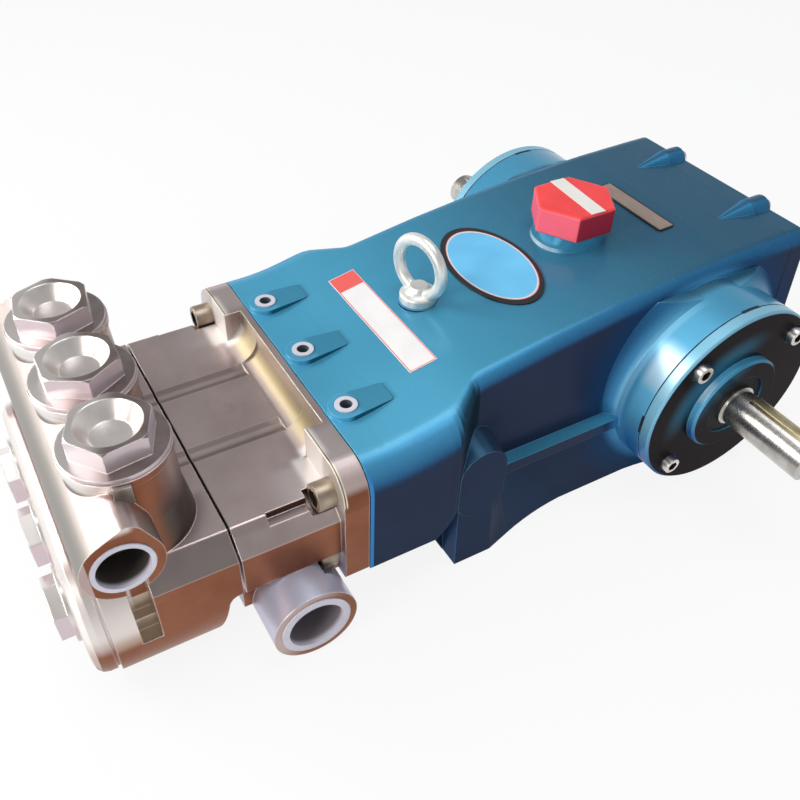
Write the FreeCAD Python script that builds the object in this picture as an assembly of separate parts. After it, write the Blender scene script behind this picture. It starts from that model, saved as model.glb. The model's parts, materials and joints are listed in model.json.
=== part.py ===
import FreeCAD, Part
import math
import os

# Triplex plunger pump, in millimetres.
# +X runs along the crankshaft, +Y from the fluid end to the rear cover, +Z up.
# The origin lies on the mounting plane, in the middle of the four foot holes.

# Heights and stations of the crankcase
case_length = 460.0
nose_to_foot = 107.0
foot_to_rear = 41.0
foot_spacing_x = 270.0
deck_height = 165.0
deck_rise = 48.0
deck_flat = 35.0
deck_turn = 22.0
rear_stations = 5
case_half_top = 119.0
case_half_base = 131.5
case_edge_radius = 14.0
belly_clearance = 6.0

# Front block that carries the fluid end
block_half = 152.0
block_depth = 84.0
block_height = 115.5
block_top_radius = 28.0
block_heel = 20.0
shoulder_turn = 16.0

# Feet and side pads
foot_length = 38.4
foot_inner = 98.0
foot_sweep = 115.0
foot_sweep_radius = 300.0
foot_sweep_top = 20.0
foot_sweep_top_radius = 8.0
leg_radius = 9.0
leg_top_half = 148.0
foot_hole_radius = 6.5
foot_hole_depth = 28.0
pad_width = 46.0
pad_height = 76.0
pad_centre_height = 94.0
pad_offset = 2.5
pad_face = 150.0
pad_draft = 8.0
rib_top = 91.0
rib_thickness = 12.0
rib_face = 137.5

# Crankshaft line
barrel_to_rear = 5.8
shaft_height = 105.3
barrel_radius = 93.2
barrel_face = 164.0
barrel_blend = 16.0
shim_thickness = 1.0
cover_thickness = 11.4
cover_hub_radius = 48.0
cover_hub_proud = 8.0
cover_edge = 2.0
cover_screw_circle = 78.0
cover_screw_count = 4
cover_head_radius = 8.0
cover_head_height = 10.0
cover_head_sunk = 3.0
cover_socket = 8.8
spigot_depth = 22.0
spigot_radius = 62.0
bearing_width = 18.0
bearing_wall = 20.0
seat_gap = 0.1
journal_radius = 27.5
shaft_radius = 17.5
shaft_half_length = 270.0
centre_hole_radius = 4.0
centre_hole_depth = 12.0
seal_journal = 20.0
seal_journal_past_hub = 1.6
seal_radius = 31.0
seal_depth = 9.0
running_gap = 0.05
tunnel_gap = 6.0
key_width = 10.0
key_depth = 5.0
key_length = 63.0
key_from_end = 8.0

# Rear cover
gasket_thickness = 1.0
rear_cover_thickness = 18.0
rear_screw_radius = 6.5
rear_head_height = 8.0
rear_edge_margin = 20.0
rear_pocket_half = 70.0
rear_pocket_low = 45.0
rear_pocket_high = 165.0
rear_pocket_depth = 5.0
fairing_x = 57.0
fairing_radius = 12.0
fairing_length = 44.0
fairing_sunk = 3.0
sight_glass_radius = 17.0
drain_radius = 13.0
drain_height = 24.0
drain_flats = 17.0

# Parts on the deck
plug_boss_radius = 15.0
plug_boss_y = 16.4
plug_boss_top = 5.0
plug_tail_length = 38.0
plug_tail_half = 11.0
plug_radius = 9.5
plug_bore = 5.0
plug_depth = 12.0
cylinder_pitch = 80.0
eyebolt_y = 130.7
eyebolt_collar = 17.0
eyebolt_pad = 0.2
eyebolt_hole = 20.0
eyebolt_rod = 5.4
eyebolt_rod_sides = 12
eyebolt_eye_height = 33.0
eyebolt_turn = 14.0
cap_y = 293.0
cap_flats = 68.0
cap_height = 24.0
cap_rounding = 2.5
neck_radius = 33.0
neck_base_radius = 35.5
neck_height = 12.0
badge_y = 207.0
badge_length = 131.0
badge_width = 70.0
badge_thickness = 1.2
label_length = 150.0
label_width = 26.6
label_y = 91.7
label_thickness = 0.6
strip_y = 371.0
strip_length = 93.0
strip_width = 19.0
plate_sunk = 2.0

# Inlet manifold with its flange
flange_thickness = 21.8
flange_lip = 6.0
flange_pad = 68.0
manifold_drop = 30.0
manifold_half = 145.0
manifold_chamfer = 19.0
side_depth = 41.0
bay_groove_radius = 22.0
bay_groove_depth = 1.6
lip_sweep = 17.0
lip_sweep_side = 24.0
split_from_nose = 107.0
split_gap = 2.0
seal_margin = 5.0
seal_corner = 8.0
gallery_radius = 37.0
gallery_drop = 125.5
gallery_y = 61.5
inlet_port_face = 174.0
inlet_bore = 24.5
inlet_liner = 30.5
flange_screw_x = 130.0
flange_screw_drop = 28.0
flange_screw_low = 14.5
flange_low_radius = 4.0
screw_head_radius = 12.0
screw_head_height = 16.0
screw_socket = 14.0
screw_room = 2.0
screw_room_length = 20.0
shelf_length = 54.0
shelf_inset = 20.5
shelf_depth = 7.0

# Discharge manifold: the ends of its lower body are rounded about the outer cylinder lines
discharge_front = 175.0
low_axis_drop = 97.0
low_bottom_drop = 145.0
low_plate_back = 191.0
low_plate_front = 211.0
low_groove_width = 2.5
low_groove_depth = 4.0
low_nose_front = 230.0
low_nose_inset = 2.5
low_nose_rounding = 10.0
notch_depth = 22.0
notch_step = 13.0
notch_step_height = 14.0
heel_depth = 26.0
heel_top_depth = 12.0
heel_drop = 87.0
tower_y = 164.1
tower_radius = 40.8
tower_neck = 38.6
tower_waist = 40.6
tower_waist_drop = 46.0
tower_base = 47.0
tower_ring = 6.0
tower_rise = 47.0
tower_rim = 3.4
valve_hex = 56.5
valve_hex_height = 17.0
valve_recess = 24.0
valve_floor = 15.0
valve_recess_depth = 12.0
port_rise = 1.8
port_y = 187.8
port_face = 150.0
port_boss_radius = 30.0
port_lobe_radius = 12.0
port_lobe_y = 8.0
port_lobe_z = 24.0
port_bore = 19.6
port_liner = 22.8
low_plug_radius = 32.0
low_plug_length = 4.0
low_plug_hex = 46.0
low_plug_hex_height = 11.0
low_plug_recess = 14.0
liner_proud = 1.0
liner_depth = 30.0
bore_step = 0.5

# Worked out from the sizes above
foot_spacing_y = case_length - nose_to_foot - foot_to_rear
nose_y = -(foot_spacing_y / 2 + nose_to_foot)
rear_y = nose_y + case_length
rear_face = rear_y + gasket_thickness + rear_cover_thickness
shaft_y = rear_y - barrel_radius - barrel_to_rear
split_y = nose_y - split_from_nose
wall_slope = (case_half_base - case_half_top) / deck_height
block_low = deck_height - block_height
cover_face = barrel_face + shim_thickness + cover_thickness
hub_face = cover_face + cover_hub_proud
seal_journal_end = hub_face + seal_journal_past_hub
manifold_top = deck_height - manifold_drop
gallery_height = deck_height - gallery_drop
low_axis = deck_height - low_axis_drop
low_bottom = deck_height - low_bottom_drop
low_end_radius = manifold_half - cylinder_pitch
tower_top = deck_height + tower_rise
port_height = deck_height + port_rise
pump_sides = (1, -1)
cylinders = (-cylinder_pitch, 0.0, cylinder_pitch)

os.makedirs("parts", exist_ok=True)


def vec(x, y, z):
    return FreeCAD.Vector(x, y, z)


def save(name, shape):
    shape.exportStep("parts/" + name + ".step")


def box(x0, x1, y0, y1, z0, z1):
    return Part.makeBox(x1 - x0, y1 - y0, z1 - z0, vec(x0, y0, z0))


def rod(start, direction, radius, length):
    return Part.makeCylinder(radius, length, vec(*start), vec(*direction))


def fuse(shapes):
    whole = shapes[0]
    for shape in shapes[1:]:
        whole = whole.fuse(shape)
    return whole.removeSplitter()


def mirrored(shape):
    return shape.mirror(vec(0, 0, 0), vec(1, 0, 0))


def rounded_wire(corners, place):
    """Closed wire through (a, b, radius) corners, each rounded by its own radius."""
    edges = []
    ends = []
    count = len(corners)
    for i in range(count):
        a, b, radius = corners[i]
        here = vec(a, b, 0)
        to_last = (vec(*corners[i - 1][:2], 0) - here).normalize()
        to_next = (vec(*corners[(i + 1) % count][:2], 0) - here).normalize()
        if radius == 0:
            ends.append((here, here, here))
            continue
        half = to_last.getAngle(to_next) / 2
        run = radius / math.tan(half)
        bisector = (to_last + to_next).normalize()
        middle = here + bisector * (radius / math.sin(half) - radius)
        ends.append((here + to_last * run, middle, here + to_next * run))
    for i in range(count):
        first, middle, last = ends[i]
        if first != last:
            edges.append(Part.Arc(place(first), place(middle), place(last)).toShape())
        start = ends[(i + 1) % count][0]
        if (start - last).Length > 1e-6:
            edges.append(Part.makeLine(place(last), place(start)))
    return Part.Wire(edges)


def plate_y(corners, y0, y1):
    """Outline given in X and Z, extruded from y0 to y1."""
    wire = rounded_wire(corners, lambda p: vec(p.x, y0, p.y))
    return Part.Face(wire).extrude(vec(0, y1 - y0, 0))


def plate_x(corners, x0, x1):
    """Outline given in Y and Z, extruded from x0 to x1."""
    wire = rounded_wire(corners, lambda p: vec(x0, p.x, p.y))
    return Part.Face(wire).extrude(vec(x1 - x0, 0, 0))


def plate_z(corners, z0, z1):
    """Outline given in X and Y, extruded from z0 to z1."""
    wire = rounded_wire(corners, lambda p: vec(p.x, p.y, z0))
    return Part.Face(wire).extrude(vec(0, 0, z1 - z0))


def hexagon_z(x, y, z, flats, height, turn):
    radius = flats / math.sqrt(3)
    points = []
    for i in range(7):
        angle = math.radians(turn + 60 * i)
        points.append(vec(x + radius * math.cos(angle), y + radius * math.sin(angle), z))
    return Part.Face(Part.makePolygon(points)).extrude(vec(0, 0, height))


def turned_to_front(shape, y, z):
    """Stands a shape made along +Z at the origin so that it points along -Y from (y, z)."""
    moved = shape.copy()
    moved.rotate(vec(0, 0, 0), vec(1, 0, 0), 90)
    moved.translate(vec(0, y, z))
    return moved


def edged_rod(start, way, radius, length, edge):
    """Cylinder along X with its far rim cut back at 45 degrees."""
    x, y, z = start
    straight = rod(start, (way, 0, 0), radius, length - edge)
    rim = Part.makeCone(radius, radius - edge, edge, vec(x + way * (length - edge), y, z), vec(way, 0, 0))
    return fuse([straight, rim])


def cone_z(x, y, z0, z1, low_radius, top_radius):
    return Part.makeCone(low_radius, top_radius, z1 - z0, vec(x, y, z0))


def obround_wire(y, radius):
    """Outline of the discharge manifold's low body: round ends about the outer cylinder lines."""
    reach = cylinder_pitch + radius
    corner = radius - 0.01
    corners = [(-reach, low_axis - radius, corner), (reach, low_axis - radius, corner),
               (reach, low_axis + radius, corner), (-reach, low_axis + radius, corner)]
    return rounded_wire(corners, lambda p: vec(p.x, y, p.y))


def obround_y(y0, y1, radius):
    return Part.Face(obround_wire(y0, radius)).extrude(vec(0, y1 - y0, 0))


def deck_z(y):
    """Height of the deck: level at the nose, a soft upward turn, then flattening to the rear."""
    behind = y - nose_y
    run = case_length - deck_flat - deck_turn
    slope = deck_rise / (deck_turn + run / 2)
    if behind <= deck_flat - deck_turn:
        return deck_height
    if behind <= deck_flat + deck_turn:
        return deck_height + slope * (behind - deck_flat + deck_turn) ** 2 / (4 * deck_turn)
    past = behind - deck_flat - deck_turn
    return deck_height + slope * (deck_turn + past - past ** 2 / (2 * run))


eyebolt_seat = deck_z(nose_y + eyebolt_y) + eyebolt_pad


def wall_half(z):
    return case_half_base - wall_slope * z


def shoulder():
    """(distance behind the nose, growth past the side walls) of the front block's plan outline."""
    full = block_half - case_half_top
    turn = shoulder_turn
    first = block_depth - turn / 2
    last = block_depth + full + turn / 2
    bends = [(0.4 * turn, 0.06 * turn), (0.7 * turn, 0.22 * turn), (turn, turn / 2)]
    points = [(0.0, full), (first, full)]
    points += [(first + along, full - inward) for along, inward in bends]
    points += [(last - along, inward) for along, inward in reversed(bends)]
    return points + [(last, 0.0)]


def case_stations():
    """Stations behind the nose with the growth past the walls at each."""
    points = shoulder()
    full = points[0][1]
    early = [deck_flat - deck_turn, deck_flat - deck_turn / 2, deck_flat, deck_flat + deck_turn / 2,
             deck_flat + deck_turn]
    stations = [points[0]] + [(s, full) for s in early] + points[1:]
    last = points[-1][0]
    for i in range(1, rear_stations + 1):
        stations.append((last + (case_length - last) * i / rear_stations, 0.0))
    return stations


def case_section(behind, growth):
    """Cross outline of the upper crankcase: drafted walls and rounded deck edges."""
    full = block_half - case_half_top
    y = nose_y + behind
    top = deck_z(y)
    low_half = wall_half(block_low)
    low_half += growth * (block_half - low_half) / full
    top_half = wall_half(top) + growth * (block_half - wall_half(top)) / full
    radius = case_edge_radius + (block_top_radius - case_edge_radius) * growth / full
    corners = [(-low_half, block_low, 0), (low_half, block_low, 0), (top_half, top, radius), (-top_half, top, radius)]
    return rounded_wire(corners, lambda p: vec(p.x, y, p.y))


def case_body():
    """Upper crankcase with the front block, and the plain walls below it."""
    upper = Part.makeLoft([case_section(behind, growth) for behind, growth in case_stations()], True, True)
    low_half = wall_half(block_low)
    lower = plate_y([(-case_half_base, 0, 0), (case_half_base, 0, 0), (low_half, block_low, 0),
                     (-low_half, block_low, 0)], nose_y, rear_y)
    front_foot = -(foot_spacing_y + foot_length) / 2
    heel = nose_y + block_depth - block_heel
    lower = lower.cut(plate_x([(nose_y - 1, -1, 0), (front_foot, -1, 0), (heel, block_low, 0),
                               (heel, block_low + 1, 0), (nose_y - 1, block_low + 1, 0)], -block_half, block_half))
    back = nose_y + block_depth
    behind = back + block_half
    under_heel = plate_x([(heel, block_low - 1, 0), (behind, block_low - 1, 0),
                          (behind, block_low + block_heel + block_half, 0), (back, block_low + block_heel, 0)],
                         low_half, block_half + 1)
    return fuse([upper.cut(under_heel).cut(mirrored(under_heel)), lower])


def crankcase():
    whole = [case_body()]
    for side in pump_sides:
        for way in (-1, 1):
            whole.append(leg(side, way))
        whole.append(side_pad(side))
        whole.append(side_rib(side))
        whole.append(barrel(side))
    for x in (-fairing_x, fairing_x):
        whole.append(fairing(x))
    for x in cylinders:
        whole.append(plug_boss(x))
    seat_radius = eyebolt_collar + 1
    whole.append(rod((0, nose_y + eyebolt_y, eyebolt_seat - 20), (0, 0, 1), seat_radius, 20))
    case = fuse(whole)
    case = case.cut(rod((0, nose_y + eyebolt_y, eyebolt_seat), (0, 0, 1), seat_radius, 20))
    case = case.cut(box(-foot_inner, foot_inner, nose_y, rear_y + 1, -1, belly_clearance))
    for side in pump_sides:
        for way in (-1, 1):
            case = case.cut(rod((side * foot_spacing_x / 2, way * foot_spacing_y / 2, 0), (0, 0, 1),
                                foot_hole_radius, foot_hole_depth))
        case = case.cut(rod((side * (barrel_face - spigot_depth), shaft_y, shaft_height), (side, 0, 0),
                            spigot_radius, spigot_depth))
    case = case.cut(rod((-barrel_face, shaft_y, shaft_height), (1, 0, 0), journal_radius + tunnel_gap,
                        2 * barrel_face))
    for x in cylinders:
        case = case.cut(rod((x, nose_y + plug_boss_y, deck_height + plug_boss_top - plug_depth), (0, 0, 1),
                            plug_radius, plug_depth))
    for seated in (filler_neck(), oval_badge(), name_strip(), blank_label()):
        case = case.cut(seated)
    return case


def leg_outline(z, outer, sweep, radius):
    half = foot_length / 2
    back = foot_spacing_y / 2 - half
    wall = wall_half(z) - 0.5
    corners = [
        (foot_inner, back + foot_length, 0),
        (outer, back + foot_length, 0),
        (outer, back, leg_radius),
        (wall, back - sweep * 0.6, radius),
        (wall, back - sweep, 0),
        (foot_inner, back - sweep, 0),
    ]
    return rounded_wire(corners, lambda p: vec(p.x, p.y, z))


def leg(side, way):
    """Foot with an upright front whose side sweeps back into the wall and narrows upward."""
    low = leg_outline(0, block_half, foot_sweep, foot_sweep_radius)
    high = leg_outline(pad_centre_height, leg_top_half, foot_sweep_top, foot_sweep_top_radius)
    shape = Part.makeLoft([low, high], True, True)
    if way < 0:
        shape = shape.mirror(vec(0, 0, 0), vec(0, 1, 0))
    return shape if side > 0 else mirrored(shape)


def pad_outline(x, grown):
    y = pad_offset - foot_spacing_y / 2
    across = pad_width / 2 + grown
    up = pad_height / 2 + grown
    radius = across - 0.01
    corners = [
        (y - across, pad_centre_height - up, radius),
        (y + across, pad_centre_height - up, radius),
        (y + across, pad_centre_height + up, radius),
        (y - across, pad_centre_height + up, radius),
    ]
    return rounded_wire(corners, lambda p: vec(x, p.x, p.y))


def side_pad(side):
    """Upright oblong pad on the side wall above the front foot, with drafted flanks."""
    pad = Part.makeLoft([pad_outline(foot_inner + 10, pad_draft), pad_outline(pad_face, 0)], True, True)
    pad = pad.cut(box(foot_inner, pad_face, nose_y, -(foot_spacing_y + foot_length) / 2 - 3, 0, deck_height))
    return pad if side > 0 else mirrored(pad)


def side_rib(side):
    rib = box(foot_inner, rib_face, -foot_spacing_y / 2, shaft_y, rib_top - rib_thickness, rib_top)
    return rib if side > 0 else mirrored(rib)


def barrel(side):
    """Bearing housing with its conical root in the side wall."""
    root = Part.makeCone(barrel_radius + barrel_blend, barrel_radius, barrel_blend,
                         vec(side * (case_half_top - 2), shaft_y, shaft_height), vec(side, 0, 0))
    trim = box(-block_half, block_half, shaft_y - 2 * barrel_radius, rear_y, belly_clearance,
               deck_z(shaft_y) - case_edge_radius)
    drum = rod((0, shaft_y, shaft_height), (side, 0, 0), barrel_radius, barrel_face)
    return fuse([drum, root.common(trim)])


def fairing_height():
    return deck_z(rear_y) - fairing_sunk


def fairing(x):
    """Teardrop screw boss that grows out of the deck up to the rear cover."""
    return Part.makeCone(0.2, fairing_radius, fairing_length, vec(x, rear_y - fairing_length, fairing_height()),
                         vec(0, 1, 0))


def plug_boss(x):
    """Flat-topped round boss whose tail runs back into the rising deck."""
    y = nose_y + plug_boss_y
    low = deck_height - plug_boss_top
    top = deck_height + plug_boss_top
    round_part = rod((x, y, low), (0, 0, 1), plug_boss_radius, top - low)
    tail = plate_z([(x - plug_boss_radius, y, 0), (x + plug_boss_radius, y, 0),
                    (x + plug_tail_half, y + plug_tail_length, 3), (x - plug_tail_half, y + plug_tail_length, 3)],
                   low, top)
    return fuse([round_part, tail])


def rear_plate(y0, y1):
    top = deck_z(rear_y)
    half = wall_half(top)
    outline = [
        (-case_half_base, belly_clearance, 12),
        (case_half_base, belly_clearance, 12),
        (half, top, case_edge_radius),
        (-half, top, case_edge_radius),
    ]
    shapes = [plate_y(outline, y0, y1)]
    for x in (-fairing_x, fairing_x):
        shapes.append(rod((x, y0, fairing_height()), (0, 1, 0), fairing_radius, y1 - y0))
    return fuse(shapes)


def rear_screw_places():
    """Two on top, then three down each side and two along the bottom."""
    side = case_half_top - rear_edge_margin / 2
    low = belly_clearance + rear_edge_margin
    high = deck_height - rear_edge_margin
    places = [(-fairing_x, fairing_height()), (fairing_x, fairing_height())]
    for z in (low, (low + high) / 2, high):
        places += [(-side, z), (side, z)]
    return places + [(-side / 3, low), (side / 3, low)]


def front_screw(x, y, z):
    """Socket head screw: only the head, with its hexagon socket, seated at y and pointing to the front."""
    head = rod((x, y, z), (0, -1, 0), screw_head_radius, screw_head_height)
    socket = turned_to_front(hexagon_z(0, 0, 0, screw_socket, screw_head_height, 0), 0, 0)
    socket.translate(vec(x, y - screw_head_height / 2, z))
    return head.cut(socket)


def rear_cover():
    y0 = rear_y + gasket_thickness
    cover = rear_plate(y0, rear_face)
    pocket_floor = rear_face - rear_pocket_depth
    pocket = [(-rear_pocket_half, rear_pocket_low, 16), (rear_pocket_half, rear_pocket_low, 16),
              (rear_pocket_half, rear_pocket_high, 16), (-rear_pocket_half, rear_pocket_high, 16)]
    cover = cover.cut(plate_y(pocket, pocket_floor, rear_face + 1))
    glass_boss = rod((0, pocket_floor, shaft_height), (0, 1, 0), sight_glass_radius + 6, rear_pocket_depth)
    cover = fuse([cover, glass_boss])
    return cover.cut(rod((0, pocket_floor - 1, shaft_height), (0, 1, 0), sight_glass_radius, rear_pocket_depth + 2))


def rear_cover_screws():
    screws = []
    for x, z in rear_screw_places():
        screws.append(rod((x, rear_face, z), (0, 1, 0), rear_screw_radius, rear_head_height))
    return Part.makeCompound(screws)


def sight_glass():
    y = rear_face - rear_pocket_depth - 1
    glass = rod((0, y, shaft_height), (0, 1, 0), sight_glass_radius - 0.2, rear_pocket_depth + 4)
    return glass.cut(rod((0, rear_face, shaft_height), (0, 1, 0), sight_glass_radius * 0.62, 4))


def drain_plug():
    flange = rod((0, rear_face, drain_height), (0, 1, 0), drain_radius, 4)
    head = turned_to_front(hexagon_z(0, 0, 0, drain_flats, 8, 0), 0, 0)
    head = head.mirror(vec(0, 0, 0), vec(0, 1, 0))
    head.translate(vec(0, rear_face + 4, drain_height))
    return fuse([flange, head])


def bearing_cover(side):
    start = side * (barrel_face + shim_thickness)
    disc = edged_rod((start, shaft_y, shaft_height), side, barrel_radius, cover_thickness, cover_edge)
    hub = edged_rod((start, shaft_y, shaft_height), side, cover_hub_radius, cover_thickness + cover_hub_proud,
                    cover_edge)
    spigot = rod((side * (barrel_face - spigot_depth + 2 * seat_gap), shaft_y, shaft_height), (side, 0, 0),
                 spigot_radius - seat_gap, spigot_depth + shim_thickness)
    cover = fuse([disc, hub, spigot])
    bore = rod((side * (barrel_face - spigot_depth - 1), shaft_y, shaft_height), (side, 0, 0),
               seal_journal + 2, spigot_depth + hub_face)
    seat = rod((side * (barrel_face - spigot_depth), shaft_y, shaft_height), (side, 0, 0),
               journal_radius + bearing_wall, bearing_width + 2 * seat_gap)
    seal_seat = rod((side * (hub_face - seal_depth), shaft_y, shaft_height), (side, 0, 0),
                    seal_radius, seal_depth + 1)
    cover = cover.cut(bore).cut(seat).cut(seal_seat)
    for y, z in cover_screw_places():
        cover = cover.cut(rod((side * (cover_face - cover_head_sunk), y, z), (side, 0, 0),
                              cover_head_radius + 1.5, cover_head_sunk + 1))
    return cover


def cover_screw_places():
    places = []
    for i in range(cover_screw_count):
        angle = 2 * math.pi * (i + 0.5) / cover_screw_count
        places.append((shaft_y + cover_screw_circle * math.cos(angle),
                       shaft_height + cover_screw_circle * math.sin(angle)))
    return places


def cover_screws(side):
    screws = []
    seat = cover_face - cover_head_sunk
    for y, z in cover_screw_places():
        head = rod((side * seat, y, z), (side, 0, 0), cover_head_radius, cover_head_height)
        socket = hexagon_z(0, 0, 0, cover_socket, cover_head_height, 0)
        socket.rotate(vec(0, 0, 0), vec(0, 1, 0), 90 * side)
        socket.translate(vec(side * (seat + cover_head_height * 0.5), y, z))
        screws.append(head.cut(socket))
    return Part.makeCompound(screws)


def cover_shims(side):
    ring = rod((side * barrel_face, shaft_y, shaft_height), (side, 0, 0), barrel_radius - 1.5,
               shim_thickness)
    return ring.cut(rod((side * (barrel_face - 1), shaft_y, shaft_height), (side, 0, 0),
                        spigot_radius, shim_thickness + 2))


def bearing(side):
    start = barrel_face - spigot_depth + 2 * seat_gap
    ring = rod((side * start, shaft_y, shaft_height), (side, 0, 0), journal_radius + bearing_wall - seat_gap,
               bearing_width - 2 * seat_gap)
    return ring.cut(rod((side * (start - 1), shaft_y, shaft_height), (side, 0, 0),
                        journal_radius + running_gap, bearing_width + 2))


def shaft_seal(side):
    start = hub_face - seal_depth
    ring = rod((side * start, shaft_y, shaft_height), (side, 0, 0), seal_radius - seat_gap, seal_depth - 2)
    return ring.cut(rod((side * (start - 1), shaft_y, shaft_height), (side, 0, 0),
                        seal_journal + running_gap, seal_depth + 2))


def crankshaft():
    """Through shaft, thickest in the bearings, with open keyways at both ends."""
    steps = [(barrel_face - spigot_depth + bearing_width, journal_radius), (seal_journal_end, seal_journal),
             (shaft_half_length, shaft_radius)]
    shaft = fuse([rod((-reach, shaft_y, shaft_height), (1, 0, 0), radius, 2 * reach) for reach, radius in steps])
    for side in pump_sides:
        shaft = shaft.cut(keyway(side))
        shaft = shaft.cut(rod((side * (shaft_half_length - centre_hole_depth), shaft_y, shaft_height), (side, 0, 0),
                              centre_hole_radius, centre_hole_depth + 1))
    return shaft


def keyway(side):
    """Open keyway milled in a shaft end; the key is not fitted."""
    end = shaft_half_length - key_from_end
    x0 = min(side * end, side * (end - key_length))
    return box(x0, x0 + key_length, shaft_y - key_width / 2, shaft_y + key_width / 2,
               shaft_height + shaft_radius - key_depth, shaft_height + shaft_radius + 1)


def cap_seat():
    return deck_z(nose_y + cap_y) + neck_height


def filler_neck():
    y = nose_y + cap_y
    low = deck_z(y - neck_base_radius) - 3
    return Part.makeCone(neck_base_radius, neck_radius, cap_seat() - low, vec(0, y, low))


def filler_cap():
    cap = hexagon_z(0, nose_y + cap_y, cap_seat(), cap_flats, cap_height, 30)
    rounded = [e for e in cap.Edges if e.BoundBox.ZMax > cap_seat() + 1]
    return cap.makeFillet(cap_rounding, rounded)


def eyebolt():
    y = nose_y + eyebolt_y
    eye = eyebolt_seat + eyebolt_eye_height
    mean = eyebolt_hole + eyebolt_rod
    collar = rod((0, y, eyebolt_seat), (0, 0, 1), eyebolt_collar, 8)
    stem = Part.makeCone(eyebolt_collar - 2, eyebolt_rod + 1, eyebolt_eye_height - eyebolt_hole - 10,
                         vec(0, y, eyebolt_seat + 8))
    profile = []
    for i in range(eyebolt_rod_sides + 1):
        angle = 2 * math.pi * (i + 0.5) / eyebolt_rod_sides
        profile.append(vec(mean + eyebolt_rod * math.cos(angle), y + eyebolt_rod * math.sin(angle), eye))
    ring = Part.Face(Part.makePolygon(profile)).revolve(vec(0, y, eye), vec(0, 1, 0), 360)
    eyelet = fuse([collar, stem, ring])
    eyelet.rotate(vec(0, y, 0), vec(0, 0, 1), eyebolt_turn)
    return eyelet


def plug_inserts():
    rings = []
    for x in cylinders:
        y = nose_y + plug_boss_y
        top = deck_height + plug_boss_top
        ring = rod((x, y, top - plug_depth), (0, 0, 1), plug_radius, plug_depth + 1.2)
        rings.append(ring.cut(rod((x, y, top - plug_depth + 4), (0, 0, 1), plug_bore, plug_depth)))
    return Part.makeCompound(rings)


def on_deck(shape_at_origin, y):
    """Lays a flat piece made about the origin onto the deck at y, along the local slope."""
    step = 5.0
    slope = math.degrees(math.atan2(deck_z(y + step) - deck_z(y - step), 2 * step))
    piece = shape_at_origin.copy()
    piece.rotate(vec(0, 0, 0), vec(1, 0, 0), slope)
    piece.translate(vec(0, y, deck_z(y)))
    return piece


def oval_badge():
    ellipse = Part.Ellipse(vec(0, 0, -plate_sunk), badge_length / 2, badge_width / 2)
    plate = Part.Face(Part.Wire(ellipse.toShape())).extrude(vec(0, 0, badge_thickness + plate_sunk))
    return on_deck(plate, nose_y + badge_y)


def name_strip():
    half = strip_length / 2
    side = strip_width / 2
    outline = [(-half, -side, 4), (half, -side, 4), (half, side, 4), (-half, side, 4)]
    return on_deck(plate_z(outline, -plate_sunk / 2, badge_thickness), nose_y + strip_y)


def blank_label():
    label = box(-label_length / 2, label_length / 2, -label_width / 2, label_width / 2, -plate_sunk / 2,
                label_thickness)
    return on_deck(label, nose_y + label_y)


def flange_outline():
    return [
        (-block_half, block_low, flange_low_radius),
        (block_half, block_low, flange_low_radius),
        (block_half, deck_height, block_top_radius),
        (-block_half, deck_height, block_top_radius),
    ]


def manifold_outline(low):
    """Cross outline shared by both manifolds: bevelled along its top edges."""
    half = manifold_half
    step = manifold_chamfer
    return [(-half, low, 4), (half, low, 4), (half, manifold_top - step, 3), (half - step, manifold_top, 3),
            (-half + step, manifold_top, 3), (-half, manifold_top - step, 3)]


def lip_fillet(x0, x1, radius):
    """Hollow curve from the manifold top up to the flange lip."""
    lip = nose_y - gasket_thickness - flange_lip
    corners = [(lip + 1, manifold_top - 5, 0), (lip + 1, manifold_top + radius, 0), (lip, manifold_top + radius, 0),
               (lip, manifold_top, radius - 0.01), (lip - radius, manifold_top, 0), (lip - radius, manifold_top - 5, 0)]
    return plate_x(corners, x0, x1)


def bay_grooves(y0, y1):
    """Two shallow hollows that part the three bays of the manifold top."""
    height = manifold_top + bay_groove_radius - bay_groove_depth
    return [rod((s * cylinder_pitch / 2, y0, height), (0, 1, 0), bay_groove_radius, y1 - y0) for s in pump_sides]


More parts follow.
